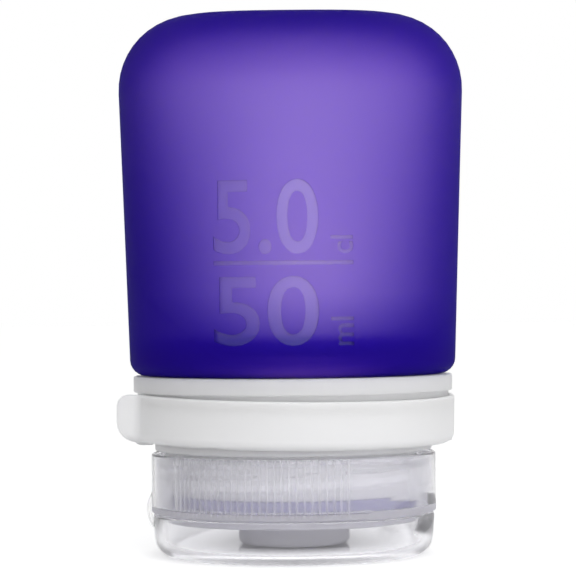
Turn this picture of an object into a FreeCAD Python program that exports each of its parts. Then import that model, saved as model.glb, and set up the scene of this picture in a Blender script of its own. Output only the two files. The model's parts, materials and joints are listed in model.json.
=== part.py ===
"""Travel squeeze bottle: a soft body held in a threaded collar, standing on its flip-top screw cap.

Millimetres, +Z up. The origin is the centre of the lid's flat outer face, on which the bottle stands.
An azimuth is counted from the front (-Y) towards the right (+X), so it grows counter-clockwise from above.
"""
import FreeCAD, Part
import math
import os

from FreeCAD import Vector

# Clearances
SEAT_CLEARANCE = 0.05
TURN_CLEARANCE = 0.1
PIN_CLEARANCE = 0.05
MOVE_CLEARANCE = 0.3
CUT_OVERRUN = 1.0

# Heights of the stacked pieces, from the stand face upwards
LID_HEIGHT = 5.3
LID_SEAM = 0.2
SKIRT_HEIGHT = 7.4
CAP_GAP = 1.1
STRAP_HEIGHT = 5.9
STRAP_SEAM = 0.4
RING_HEIGHT = 2.3
BODY_HEIGHT = 44.8

# Walls from the mouth outwards
MOUTH_RADIUS = 12.6
NECK_WALL = 1.55
COLLAR_WALL = 1.3
THREAD_ROOM = 1.2
SKIRT_WALL = 1.18
BARREL_STEP = 0.12
STRAP_THICKNESS = 2.0
RING_SETBACK = 0.27
BODY_OVERHANG = 0.36

# Soft body
BASE_WIDTH = 43.65
BASE_DEPTH = 38.0
BASE_EXPONENT = 2.9
BASE_ROUNDING = 9.6
BASE_THICKNESS = 2.6
BODY_WALL = 1.9
SHOULDER_THICKNESS = 2.2
SHOULDER_ROUNDING = 1.9
CAVITY_ROUNDING = 2.4
MOUTH_LIP_HEIGHT = 1.3
MOUTH_LIP_EDGE = 0.3
SECTION_POINTS = 24
BASE_STEPS = 6
SHOULDER_STEPS = 3

# Collar
COLLAR_EDGE = 0.25
RING_EDGE = 0.45
COLLAR_MOUTH_EDGE = 0.6
BEAD_SETBACK = 0.6
CORE_WIDTH = 1.0
CORE_FLOOR = 1.6

# Strap and its hinge
STRAP_INNER_EDGE = 0.3
STRAP_TOP_EDGE = 0.3
STRAP_BOTTOM_EDGE = 1.2
STRAP_HINGE_AZIMUTH = 100.0
TAB_AZIMUTH = -66.0
TAB_BEND_RADIUS = 2.2
TAB_LENGTH = 2.1
TAB_TOP_CORNER = 1.4
TAB_BOTTOM_CORNER = 2.6
STRAP_PITCH_ANGLE = 0.6
STRAP_ROLL_ANGLE = 0.45
NOTCH_AZIMUTH = -30.0
NOTCH_WIDTH = 2.8
NOTCH_DEPTH = 0.45
KNUCKLE_RADIUS = 1.15
KNUCKLE_HEIGHT = 2.15
KNUCKLE_GAP = 0.2
HINGE_RELIEF = 0.45
PIN_RADIUS = 0.5
REAR_BAND_END_AZIMUTH = 278.0

# Cap
THUMB_AZIMUTH = 58.0
DECK_THICKNESS = 0.85
PLINTH_HEIGHT = 1.1
WEB_THICKNESS = 1.0
LAND_WIDTH = 3.6
CAP_EDGE = 0.25
RIB_COUNT = 27
RIB_PITCH_ANGLE = 2.88
RIB_PATCH_ANGLE = 74.0
RIB_RADIUS = 0.34
RIB_STAND = 0.16
RIB_MARGIN = 0.5
SCOOP_DEPTH = 0.75
SCOOP_HEIGHT = 3.0
SCOOP_HALF_ANGLE = 29.0

# Spout, valve and retainer
ORIFICE_RADIUS = 4.0
SPOUT_WALL = 1.05
SPOUT_GAP = 0.2
SPOUT_LIP = 0.7
SPOUT_EDGE = 0.4
VALVE_RADIUS = 5.9
VALVE_FLANGE = 1.0
VALVE_MEMBRANE = 0.6
VALVE_DISH = 0.9
SLIT_LENGTH = 4.6
SLIT_WIDTH = 0.12
RETAINER_WALL = 1.5
RETAINER_CHAMFER = 0.5

# Lid
LID_SETBACK = 0.18
LID_WALL = 1.2
LID_FLOOR = 1.2
LID_DRAFT = 0.35
LID_CORNER = 2.4
LID_INNER_CORNER = 1.3
LID_EDGE = 0.25
PLINTH_CLEARANCE = 0.2
PLUG_CLEARANCE = 0.35
PLUG_REACH = 0.15
PLUG_EDGE = 0.4

# Film hinge of the lid
FILM_THICKNESS = 0.4
FILM_HALF_ANGLE = 11.0
BOW_AZIMUTH_OFFSET = 30.0
BOW_HALF_ANGLE = 5.0
BOW_THICKNESS = 0.32
BOW_STAND = 0.62
BOW_RISE = 2.5
BOW_DROP = 1.8
BOW_FOOT = 0.7

# Levels worked out from the stack
CAP_Z = LID_HEIGHT + LID_SEAM
SKIRT_TOP_Z = CAP_Z + SKIRT_HEIGHT
STRAP_Z = SKIRT_TOP_Z + CAP_GAP
STRAP_TOP_Z = STRAP_Z + STRAP_HEIGHT
RING_Z = STRAP_TOP_Z + STRAP_SEAM
RING_TOP_Z = RING_Z + RING_HEIGHT
BODY_Z = RING_TOP_Z + SEAT_CLEARANCE
TOP_Z = BODY_Z + BODY_HEIGHT
LAND_Z = CAP_Z + DECK_THICKNESS
PLINTH_Z = CAP_Z - PLINTH_HEIGHT
WEB_Z = PLINTH_Z + WEB_THICKNESS
SPOUT_Z = LID_FLOOR + SPOUT_GAP
SPOUT_SEAT_Z = SPOUT_Z + SPOUT_LIP
MOUTH_LIP_Z = LAND_Z + SEAT_CLEARANCE
COLLAR_Z = MOUTH_LIP_Z + MOUTH_LIP_HEIGHT + SEAT_CLEARANCE
BEAD_Z = SKIRT_TOP_Z + MOVE_CLEARANCE
KNUCKLE_Z = STRAP_Z + (STRAP_HEIGHT - KNUCKLE_HEIGHT) / 2
KNUCKLE_TOP_Z = KNUCKLE_Z + KNUCKLE_HEIGHT
SEAM_Z = LID_HEIGHT + LID_SEAM / 2

# Radii worked out from the walls
NECK_RADIUS = MOUTH_RADIUS + NECK_WALL
COLLAR_BORE = NECK_RADIUS + SEAT_CLEARANCE
THREAD_ROOT_RADIUS = COLLAR_BORE + COLLAR_WALL
SKIRT_BORE = THREAD_ROOT_RADIUS + THREAD_ROOM
SKIRT_RADIUS = SKIRT_BORE + SKIRT_WALL
BARREL_RADIUS = SKIRT_RADIUS + BARREL_STEP
BEAD_RADIUS = BARREL_RADIUS - BEAD_SETBACK
STRAP_BORE = BARREL_RADIUS + MOVE_CLEARANCE
STRAP_MID_RADIUS = STRAP_BORE + STRAP_THICKNESS / 2
STRAP_RADIUS = STRAP_BORE + STRAP_THICKNESS
RING_RADIUS = STRAP_RADIUS - RING_SETBACK
SHOULDER_RADIUS = RING_RADIUS + BODY_OVERHANG
LID_RADIUS = SKIRT_RADIUS - LID_SETBACK
LID_BORE = LID_RADIUS - LID_WALL
PLINTH_RADIUS = LID_BORE - PLINTH_CLEARANCE
SPOUT_BORE = VALVE_RADIUS + SEAT_CLEARANCE
SPOUT_RADIUS = SPOUT_BORE + SPOUT_WALL
HINGE_AZIMUTH = THUMB_AZIMUTH + 180

AXIS = Vector(0, 0, 1)
SIDEWAYS = Vector(1, 0, 0)
BACKWARDS = Vector(0, 1, 0)
ORIGIN = Vector(0, 0, 0)
FULL_TURN = 360.0


def outward(azimuth):
    """Unit vector that points away from the bottle's axis at an azimuth."""
    angle = math.radians(azimuth)
    return Vector(math.sin(angle), -math.cos(angle), 0)


def at(azimuth, radius, z):
    """Point at an azimuth, a radius and a height."""
    return outward(azimuth) * radius + AXIS * z


def rounded_wire(corners, place):
    """Closed wire through (u, v, rounding) corners, where place turns u and v into a point."""
    count = len(corners)
    joints = []
    for index, (u, v, rounding) in enumerate(corners):
        here = place(u, v)
        before = place(*corners[index - 1][:2]) - here
        after = place(*corners[(index + 1) % count][:2]) - here
        if rounding <= 0:
            joints.append((here, None, here))
            continue
        half = before.getAngle(after) / 2
        tangent = rounding / math.tan(half)
        bisector = (before / before.Length + after / after.Length).normalize()
        middle = here + bisector * (rounding / math.sin(half) - rounding)
        start = here + before / before.Length * tangent
        end = here + after / after.Length * tangent
        joints.append((start, middle, end))
    edges = []
    for index, (start, middle, end) in enumerate(joints):
        if middle is not None:
            edges.append(Part.Arc(start, middle, end).toShape())
        edges.append(Part.LineSegment(end, joints[(index + 1) % count][0]).toShape())
    return Part.Wire(edges)


def turned(corners, start=0.0, sweep=FULL_TURN):
    """Solid made by turning (radius, z, rounding) corners about the axis, from an azimuth through a sweep."""
    face = Part.Face(rounded_wire(corners, lambda radius, z: at(start, radius, z)))
    return face.revolve(ORIGIN, AXIS, sweep)


def chamfered(corners):
    """The same corners with their edges cut flat instead of rounded."""
    result = []
    for index, (radius, z, size) in enumerate(corners):
        here = Vector(radius, 0, z)
        neighbours = [corners[index - 1], corners[(index + 1) % len(corners)]]
        if size == 0:
            neighbours = neighbours[:1]
        for other_radius, other_z, _ in neighbours:
            point = here + (Vector(other_radius, 0, other_z) - here).normalize() * size
            result.append((point.x, point.z, 0))
    return result


def cylinder(radius, bottom, top, centre=ORIGIN):
    """Upright cylinder about a centre."""
    return Part.makeCylinder(radius, top - bottom, Vector(centre.x, centre.y, bottom))


def outline(share, inset, z):
    """Closed smooth outline of the body, round at share 0 and squarer at share 1, taken in by an inset."""
    points = []
    for index in range(SECTION_POINTS):
        angle = 2 * math.pi * index / SECTION_POINTS
        across = abs(math.cos(angle)) / (BASE_WIDTH / 2 - inset)
        along = abs(math.sin(angle)) / (BASE_DEPTH / 2 - inset)
        square = (across ** BASE_EXPONENT + along ** BASE_EXPONENT) ** (-1 / BASE_EXPONENT)
        radius = (SHOULDER_RADIUS - inset) * (1 - share) + square * share
        points.append(Vector(radius * math.cos(angle), radius * math.sin(angle), z))
    curve = Part.BSplineCurve()
    curve.interpolate(points, PeriodicFlag=True)
    return Part.Wire(curve.toShape())


def quarter(steps):
    """Sine and cosine at even steps through a quarter turn."""
    angles = [math.pi / 2 * step / steps for step in range(steps + 1)]
    return [(math.sin(angle), math.cos(angle)) for angle in angles]


def flask(inset, bottom, top, base_rounding, shoulder_rounding):
    """Rounded form from the round shoulder to the squarer base, taken in by an inset all round."""
    base = [
        (top - base_rounding * (1 - cosine), inset + base_rounding * (1 - sine))
        for sine, cosine in quarter(BASE_STEPS)
    ]
    shoulder = [
        (bottom + shoulder_rounding * (1 - sine), inset + shoulder_rounding * (1 - cosine))
        for sine, cosine in quarter(SHOULDER_STEPS)
    ]

    def stack(levels, straight):
        return Part.makeLoft([outline((z - BODY_Z) / BODY_HEIGHT, taken_in, z) for z, taken_in in levels], True, straight)

    side = stack([base[-1], shoulder[0]], True)
    return stack(base, False).fuse([side, stack(shoulder, False)]).removeSplitter()


def make_cavity():
    """Space that holds the liquid, from the mouth to the base."""
    floor = BODY_Z + SHOULDER_THICKNESS
    form = flask(BODY_WALL, floor, TOP_Z - BASE_THICKNESS, BASE_ROUNDING - BODY_WALL, CAVITY_ROUNDING)
    bore = cylinder(MOUTH_RADIUS, MOUTH_LIP_Z, floor + CUT_OVERRUN)
    return form.fuse(bore)


def make_bottle(cavity):
    """Soft squeeze body whose neck passes through the collar and turns out over its end as a seal."""
    form = flask(0, BODY_Z, TOP_Z, BASE_ROUNDING, SHOULDER_ROUNDING)
    neck = cylinder(NECK_RADIUS, MOUTH_LIP_Z, BODY_Z + SHOULDER_THICKNESS)
    lip_top = MOUTH_LIP_Z + MOUTH_LIP_HEIGHT
    lip = turned(chamfered([
        (MOUTH_RADIUS, MOUTH_LIP_Z, 0),
        (THREAD_ROOT_RADIUS, MOUTH_LIP_Z, MOUTH_LIP_EDGE),
        (THREAD_ROOT_RADIUS, lip_top, MOUTH_LIP_EDGE),
        (MOUTH_RADIUS, lip_top, 0),
    ]))
    mouth = cylinder(MOUTH_RADIUS, MOUTH_LIP_Z - CUT_OVERRUN, MOUTH_LIP_Z + CUT_OVERRUN)
    return form.fuse([neck, lip]).cut(cavity.fuse(mouth)).removeSplitter()


def band_corners(bore):
    """Section of the band that runs round the collar, as (radius, z, rounding) corners."""
    return [
        (bore, STRAP_Z, STRAP_INNER_EDGE),
        (STRAP_RADIUS, STRAP_Z, STRAP_BOTTOM_EDGE),
        (STRAP_RADIUS, STRAP_TOP_Z, STRAP_TOP_EDGE),
        (bore, STRAP_TOP_Z, STRAP_INNER_EDGE),
    ]


def strap_pin_at(z):
    """Point on the axis of the strap's hinge."""
    return at(STRAP_HINGE_AZIMUTH, STRAP_MID_RADIUS, z)


def around_pin(radius, bottom, top):
    """Upright cylinder about the strap's hinge."""
    return cylinder(radius, bottom, top, strap_pin_at(0))


def make_collar():
    """Rigid collar: threaded neck tube, bead, barrel behind the strap, ring and rear band with hinge ears."""
    core_radius = THREAD_ROOT_RADIUS + CORE_WIDTH
    tube = turned(chamfered([
        (COLLAR_BORE, COLLAR_Z, COLLAR_EDGE),
        (THREAD_ROOT_RADIUS, COLLAR_Z, COLLAR_EDGE),
        (THREAD_ROOT_RADIUS, BEAD_Z, 0),
        (BEAD_RADIUS, BEAD_Z, COLLAR_EDGE),
        (BEAD_RADIUS, STRAP_Z, 0),
        (BARREL_RADIUS, STRAP_Z + BEAD_SETBACK, 0),
        (BARREL_RADIUS, RING_Z, 0),
        (RING_RADIUS, RING_Z, RING_EDGE),
        (RING_RADIUS, RING_TOP_Z, COLLAR_EDGE),
        (core_radius, RING_TOP_Z, 0),
        (core_radius, BEAD_Z + CORE_FLOOR, 0),
        (THREAD_ROOT_RADIUS, BEAD_Z + CORE_FLOOR, 0),
        (THREAD_ROOT_RADIUS, RING_TOP_Z, 0),
        (COLLAR_BORE, RING_TOP_Z, COLLAR_MOUTH_EDGE),
    ]))
    sweep = REAR_BAND_END_AZIMUTH - STRAP_HINGE_AZIMUTH
    rear_band = turned(band_corners(BARREL_RADIUS - MOVE_CLEARANCE), STRAP_HINGE_AZIMUTH, sweep)
    relief_bottom = KNUCKLE_Z - KNUCKLE_GAP
    relief_top = KNUCKLE_TOP_Z + KNUCKLE_GAP
    relief = around_pin(KNUCKLE_RADIUS + HINGE_RELIEF, relief_bottom, relief_top)
    ears = [
        around_pin(KNUCKLE_RADIUS, STRAP_Z, relief_bottom),
        around_pin(KNUCKLE_RADIUS, relief_top, STRAP_TOP_Z),
    ]
    pin_hole = around_pin(PIN_RADIUS + PIN_CLEARANCE, STRAP_Z - CUT_OVERRUN, STRAP_TOP_Z + STRAP_SEAM / 2)
    relief = relief.cut(cylinder(BARREL_RADIUS, relief_bottom, relief_top))
    return tube.fuse([rear_band] + ears).cut(relief.fuse(pin_hole)).removeSplitter()


def make_strap_pin():
    """Pin through the collar's two ears and the strap's knuckle."""
    return around_pin(PIN_RADIUS, STRAP_Z, STRAP_TOP_Z)


def strap_band():
    """The strap's band round the front of the collar, bent outwards at its free end into the finger tab.

    It sits a little askew on its hinge, so that the free end rides up under the collar's ring.
    """
    corners = band_corners(STRAP_BORE)
    ring = turned(corners, TAB_AZIMUTH, STRAP_HINGE_AZIMUTH - TAB_AZIMUTH)
    leave = Part.Face(rounded_wire(corners, lambda radius, z: at(TAB_AZIMUTH, radius, z)))
    centre = at(TAB_AZIMUTH, STRAP_MID_RADIUS + TAB_BEND_RADIUS, 0)
    bend = leave.revolve(centre, AXIS, -TAB_AZIMUTH)
    bend_end = leave.rotated(centre, AXIS, -TAB_AZIMUTH)
    tab = bend_end.extrude(outward(-90) * TAB_LENGTH)
    tip = centre - outward(0) * TAB_BEND_RADIUS + outward(-90) * TAB_LENGTH
    band = ring.fuse([bend, tab]).cut(tab_corner_cutter(tip))
    front = at(0, STRAP_RADIUS, STRAP_TOP_Z)
    band.rotate(front, SIDEWAYS, STRAP_PITCH_ANGLE)
    return band.rotate(front, BACKWARDS, STRAP_ROLL_ANGLE)


def tab_corner_cutter(tip):
    """What is taken off the end of the finger tab to round it as seen from the front."""
    depth = STRAP_THICKNESS + 2 * CUT_OVERRUN
    edge_x = tip.x + TAB_BOTTOM_CORNER
    root_x = edge_x + TAB_LENGTH

    def place(x, z):
        return Vector(x, tip.y - depth / 2, z)

    block = rounded_wire([
        (tip.x - CUT_OVERRUN, STRAP_Z - CUT_OVERRUN, 0),
        (edge_x, STRAP_Z - CUT_OVERRUN, 0),
        (edge_x, STRAP_TOP_Z + CUT_OVERRUN, 0),
        (tip.x - CUT_OVERRUN, STRAP_TOP_Z + CUT_OVERRUN, 0),
    ], place)
    kept = rounded_wire([
        (tip.x, STRAP_Z, TAB_BOTTOM_CORNER),
        (root_x, STRAP_Z, 0),
        (root_x, STRAP_TOP_Z, 0),
        (tip.x, STRAP_TOP_Z, TAB_TOP_CORNER),
    ], place)
    along = Vector(0, depth, 0)
    return Part.Face(block).extrude(along).cut(Part.Face(kept).extrude(along))


def make_strap():
    """White lock strap round the front of the collar, with a knuckle at one end and a finger tab at the other."""
    band = strap_band()
    relief = KNUCKLE_RADIUS + HINGE_RELIEF
    over = STRAP_TOP_Z + CUT_OVERRUN
    gaps = [
        around_pin(relief, STRAP_Z - CUT_OVERRUN, KNUCKLE_Z),
        around_pin(relief, KNUCKLE_TOP_Z, over),
    ]
    knuckle = around_pin(KNUCKLE_RADIUS, KNUCKLE_Z, KNUCKLE_TOP_Z)
    bore = around_pin(PIN_RADIUS + PIN_CLEARANCE, STRAP_Z - CUT_OVERRUN, over)
    half_width = NOTCH_WIDTH / 2
    notch_radius = (half_width ** 2 + NOTCH_DEPTH ** 2) / (2 * NOTCH_DEPTH)
    notch_start = at(NOTCH_AZIMUTH, BARREL_RADIUS, STRAP_Z + NOTCH_DEPTH - notch_radius)
    notch_length = STRAP_RADIUS - BARREL_RADIUS + CUT_OVERRUN
    notch = Part.makeCylinder(notch_radius, notch_length, notch_start, outward(NOTCH_AZIMUTH))
    return band.cut(gaps).fuse(knuckle).cut([bore, notch]).removeSplitter()


def thumb_scoop():
    """Ring-shaped cutter, off centre towards the lid's hinge, that hollows the thumb side of cap and lid."""
    inner = SKIRT_RADIUS - SCOOP_DEPTH
    spread = inner - SKIRT_RADIUS * math.cos(math.radians(SCOOP_HALF_ANGLE))
    offset = (SKIRT_RADIUS ** 2 - inner ** 2) / (2 * spread)
    tube = (SCOOP_HEIGHT ** 2 + SCOOP_DEPTH ** 2) / (2 * SCOOP_DEPTH)
    centre = at(HINGE_AZIMUTH, offset, SEAM_Z)
    return Part.makeTorus(inner + offset + tube, tube, centre, AXIS)


def grip_ribs():
    """Upright ribs in two patches on the skirt, one each side of the thumb."""
    ribs = []
    half = RIB_PITCH_ANGLE * (RIB_COUNT - 1) / 2
    for side in (-1, 1):
        first = THUMB_AZIMUTH + side * RIB_PATCH_ANGLE - half
        for index in range(RIB_COUNT):
            centre = at(first + index * RIB_PITCH_ANGLE, SKIRT_RADIUS + RIB_STAND - RIB_RADIUS, 0)
            ribs.append(cylinder(RIB_RADIUS, CAP_Z + RIB_MARGIN, SKIRT_TOP_Z - RIB_MARGIN, centre))
    return ribs


def make_cap():
    """Clear screw cap: skirt round the neck, deck that seals on the mouth, plinth for the lid and spout."""
    land_radius = SKIRT_BORE - LAND_WIDTH
    shell = turned([
        (ORIFICE_RADIUS, SPOUT_Z, SPOUT_EDGE / 2),
        (SPOUT_RADIUS, SPOUT_Z, SPOUT_EDGE),
        (SPOUT_RADIUS, PLINTH_Z, 0),
        (PLINTH_RADIUS, PLINTH_Z, CAP_EDGE),
        (PLINTH_RADIUS, CAP_Z, 0),
        (SKIRT_RADIUS, CAP_Z, CAP_EDGE),
        (SKIRT_RADIUS, SKIRT_TOP_Z, CAP_EDGE),
        (SKIRT_BORE, SKIRT_TOP_Z, CAP_EDGE),
        (SKIRT_BORE, LAND_Z, 0),
        (land_radius, LAND_Z, 0),
        (land_radius, WEB_Z, 0),
        (SPOUT_BORE, WEB_Z, 0),
        (SPOUT_BORE, SPOUT_SEAT_Z, 0),
        (ORIFICE_RADIUS, SPOUT_SEAT_Z, 0),
    ])
    return shell.fuse(grip_ribs()).cut(thumb_scoop()).removeSplitter()


def make_valve():
    """Soft no-drip valve: a flange on the spout's seat and a dished membrane with a cross slit."""
    top = SPOUT_SEAT_Z + VALVE_FLANGE
    dished = SPOUT_SEAT_Z + VALVE_DISH
    disc = turned([
        (0, dished, 0),
        (ORIFICE_RADIUS, SPOUT_SEAT_Z + SEAT_CLEARANCE, 0),
        (VALVE_RADIUS, SPOUT_SEAT_Z + SEAT_CLEARANCE, 0),
        (VALVE_RADIUS, top, 0),
        (ORIFICE_RADIUS, top, 0),
        (0, dished + VALVE_MEMBRANE, 0),
    ])
    slits = []
    tall = VALVE_DISH + VALVE_MEMBRANE + CUT_OVERRUN
    for across, along in ((SLIT_LENGTH, SLIT_WIDTH), (SLIT_WIDTH, SLIT_LENGTH)):
        corner = Vector(-across / 2, -along / 2, SPOUT_SEAT_Z)
        slit = Part.makeBox(across, along, tall, corner)
        slits.append(slit.rotate(ORIGIN, AXIS, THUMB_AZIMUTH))
    return disc.cut(slits)


def make_retainer():
    """Plain ring pressed into the spout from inside, which holds the valve's flange on its seat."""
    bottom = SPOUT_SEAT_Z + VALVE_FLANGE + TURN_CLEARANCE
    outer = SPOUT_BORE - TURN_CLEARANCE
    inner = outer - RETAINER_WALL
    return turned([
        (inner, bottom, 0),
        (outer, bottom, 0),
        (outer, WEB_Z, 0),
        (inner + RETAINER_CHAMFER, WEB_Z, 0),
        (inner, WEB_Z - RETAINER_CHAMFER, 0),
    ])


def make_lid():
    """Clear flip lid: a shallow cup with a plug that stops the spout."""
    plug_radius = ORIFICE_RADIUS - PLUG_CLEARANCE
    plug_top = SPOUT_SEAT_Z + PLUG_REACH
    foot = LID_RADIUS - LID_DRAFT
    cup = turned([
        (0, 0, 0),
        (foot, 0, LID_CORNER),
        (LID_RADIUS, LID_HEIGHT, LID_EDGE),
        (LID_BORE, LID_HEIGHT, LID_EDGE),
        (foot - LID_WALL, LID_FLOOR, LID_INNER_CORNER),
        (plug_radius, LID_FLOOR, 0),
        (plug_radius, plug_top, PLUG_EDGE),
        (0, plug_top, 0),
    ])
    return cup.cut(thumb_scoop()).removeSplitter()


def make_hinge_film():
    """Thin web that joins lid and cap along the hinge."""
    inner = SKIRT_RADIUS - LID_SETBACK - FILM_THICKNESS
    return turned([
        (inner, LID_HEIGHT + SEAT_CLEARANCE, 0),
        (inner + FILM_THICKNESS, LID_HEIGHT + SEAT_CLEARANCE, 0),
        (inner + FILM_THICKNESS, CAP_Z - SEAT_CLEARANCE, 0),
        (inner, CAP_Z - SEAT_CLEARANCE, 0),
    ], HINGE_AZIMUTH - FILM_HALF_ANGLE, 2 * FILM_HALF_ANGLE)


def make_hinge_bows():
    """Two thin bowed straps beside the film hinge, which snap the lid open."""
    skirt = SKIRT_RADIUS + SEAT_CLEARANCE
    lid = LID_RADIUS + SEAT_CLEARANCE
    top = CAP_Z + BOW_RISE
    bottom = LID_HEIGHT - BOW_DROP
    inner_stand = skirt + BOW_STAND - BOW_THICKNESS
    bows = []
    for side in (-1, 1):
        start = HINGE_AZIMUTH + side * BOW_AZIMUTH_OFFSET - BOW_HALF_ANGLE
        edges = [
            Part.Arc(at(start, skirt, top), at(start, skirt + BOW_STAND, SEAM_Z), at(start, lid, bottom)).toShape(),
            Part.LineSegment(at(start, lid, bottom), at(start, lid, bottom + BOW_FOOT)).toShape(),
            Part.Arc(
                at(start, lid, bottom + BOW_FOOT),
                at(start, inner_stand, SEAM_Z),
                at(start, skirt, top - BOW_FOOT),
            ).toShape(),
            Part.LineSegment(at(start, skirt, top - BOW_FOOT), at(start, skirt, top)).toShape(),
        ]
        bows.append(Part.Face(Part.Wire(edges)).revolve(ORIGIN, AXIS, 2 * BOW_HALF_ANGLE))
    return Part.makeCompound(bows)


def make_pieces():
    """Every piece of the bottle by its name."""
    cavity = make_cavity()
    millilitres = cavity.Volume / 1000
    print(f"capacity to the brim {millilitres:.1f} ml")
    return {
        "silicone_bottle": make_bottle(cavity),
        "threaded_collar": make_collar(),
        "strap_hinge_pin": make_strap_pin(),
        "lock_strap": make_strap(),
        "screw_cap": make_cap(),
        "slit_valve": make_valve(),
        "valve_retainer": make_retainer(),
        "flip_lid": make_lid(),
        "hinge_film": make_hinge_film(),
        "hinge_bows": make_hinge_bows(),
    }


def main():
    os.makedirs("parts", exist_ok=True)
    for name, shape in make_pieces().items():
        box = shape.BoundBox
        print(
            f"{name}: valid {shape.isValid()}, solids {len(shape.Solids)}, {shape.Volume:.1f} mm3, "
            f"x {box.XMin:.2f} {box.XMax:.2f}, y {box.YMin:.2f} {box.YMax:.2f}, z {box.ZMin:.2f} {box.ZMax:.2f}"
        )
        shape.exportStep(f"parts/{name}.step")


if __name__ == "__main__":
    main()
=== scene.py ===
"""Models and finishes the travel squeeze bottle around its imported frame.

Metres, +Z up, the front towards -Y. An azimuth is in degrees, counted from the front towards +X.
"""
import json
import math

import bpy
from bpy.props import FloatProperty, FloatVectorProperty, IntProperty, PointerProperty, StringProperty
from mathutils import Matrix, Vector


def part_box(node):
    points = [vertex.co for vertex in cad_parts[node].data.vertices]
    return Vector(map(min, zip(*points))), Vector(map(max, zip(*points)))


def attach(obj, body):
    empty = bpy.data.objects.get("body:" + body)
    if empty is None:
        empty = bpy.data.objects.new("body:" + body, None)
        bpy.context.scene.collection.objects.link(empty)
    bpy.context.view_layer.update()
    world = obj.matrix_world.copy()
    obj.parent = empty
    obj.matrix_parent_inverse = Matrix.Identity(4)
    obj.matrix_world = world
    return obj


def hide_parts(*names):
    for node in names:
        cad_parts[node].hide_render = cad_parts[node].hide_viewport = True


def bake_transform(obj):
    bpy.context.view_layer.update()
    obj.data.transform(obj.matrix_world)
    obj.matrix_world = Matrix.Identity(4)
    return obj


bl_info = {
    "name": "Travel squeeze bottle",
    "version": (1, 0, 0),
    "blender": (4, 5, 0),
    "location": "View3D > Sidebar > Bottle",
    "description": "Models and finishes a soft squeeze bottle that stands on its flip-top cap",
    "category": "Object",
}

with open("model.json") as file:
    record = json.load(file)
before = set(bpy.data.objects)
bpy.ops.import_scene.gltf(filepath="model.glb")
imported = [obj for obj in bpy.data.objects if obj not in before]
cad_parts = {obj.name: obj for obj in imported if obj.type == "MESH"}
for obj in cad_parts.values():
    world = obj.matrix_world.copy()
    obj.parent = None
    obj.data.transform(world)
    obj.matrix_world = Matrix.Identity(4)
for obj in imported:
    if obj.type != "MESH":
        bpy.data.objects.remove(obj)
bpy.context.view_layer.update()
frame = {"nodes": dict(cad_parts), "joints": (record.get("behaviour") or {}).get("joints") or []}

# Places that the frame gives
JOINTS = {joint["name"]: joint for joint in frame["joints"]}
LID_HINGE = Vector(JOINTS["lid_flip"]["pos_m"])
STRAP_PIN = Vector(JOINTS["strap_swing"]["pos_m"])
BOTTLE_LOW, BOTTLE_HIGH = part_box("silicone_bottle")
COLLAR_LOW, COLLAR_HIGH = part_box("threaded_collar")
CAP_LOW, CAP_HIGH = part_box("screw_cap")
FILM_LOW, FILM_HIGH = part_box("hinge_film")
BOWS_LOW, BOWS_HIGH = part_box("hinge_bows")
PIN_LOW, PIN_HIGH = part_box("strap_hinge_pin")
LID_HINGE_AZIMUTH = math.degrees(math.atan2(LID_HINGE.x, -LID_HINGE.y))
STRAP_HINGE_AZIMUTH = math.degrees(math.atan2(STRAP_PIN.x, -STRAP_PIN.y))
THUMB_AZIMUTH = LID_HINGE_AZIMUTH + 180

# How finely things are modelled
TURN_STEPS = 240
RIB_STEPS = 500
ROUNDING_STEPS = 6
WELD = 1e-7
OVERRUN = 0.001
FULL_TURN = 2 * math.pi


def length(name, description, default):
    """Property for a length in metres."""
    return FloatProperty(
        name=name, description=description, default=default, min=0, precision=5, unit="LENGTH"
    )


def turn(name, description, default):
    """Property for an angle in degrees."""
    return FloatProperty(name=name, description=description, default=default, precision=2)


def amount(name, description, default):
    """Property for a plain number."""
    return FloatProperty(name=name, description=description, default=default, precision=3)


def colour(name, description, default):
    """Property for a colour, as linear light."""
    return FloatVectorProperty(
        name=name, description=description, default=default, min=0, max=1, size=3, subtype="COLOR"
    )


def spot(name, description, default):
    """Property for a place, as shares of another length."""
    return FloatVectorProperty(name=name, description=description, default=default, size=3, subtype="XYZ")


class BodySizes(bpy.types.PropertyGroup):
    """Sizes of the soft body."""
    shoulder_radius: length("Shoulder radius", "Radius where the body meets the collar", 0.02039)
    base_width: length("Base width", "Width of the squarer base before its edge is rounded", 0.04365)
    base_depth: length("Base depth", "Depth of the squarer base before its edge is rounded", 0.038)
    base_exponent: amount("Base squareness", "2 is an ellipse and more is squarer", 2.9)
    base_rounding: length("Base rounding", "Radius of the base's edge", 0.0096)
    base_thickness: length("Base thickness", "Wall of the base", 0.0026)
    wall: length("Wall", "Wall of the body's sides", 0.0019)
    shoulder_thickness: length("Shoulder thickness", "Wall of the shoulder", 0.0029)
    shoulder_rounding: length("Shoulder rounding", "Radius of the shoulder's edge", 0.0019)
    cavity_rounding: length("Cavity rounding", "Radius inside the shoulder", 0.0024)
    mouth_radius: length("Mouth radius", "Radius of the opening", 0.0126)
    neck_wall: length("Neck wall", "Wall of the soft neck", 0.00155)
    lip_radius: length("Lip radius", "Outer radius of the turned-out mouth", 0.0155)
    lip_height: length("Lip height", "Thickness of the turned-out mouth", 0.0013)
    edge: length("Edge", "Rounding of the lip's edges", 0.0003)
    seat: length("Seat", "Clearance between the shoulder and the collar", 0.00005)
    row: length("Row", "Longest face up the body's side", 0.0012)


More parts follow.
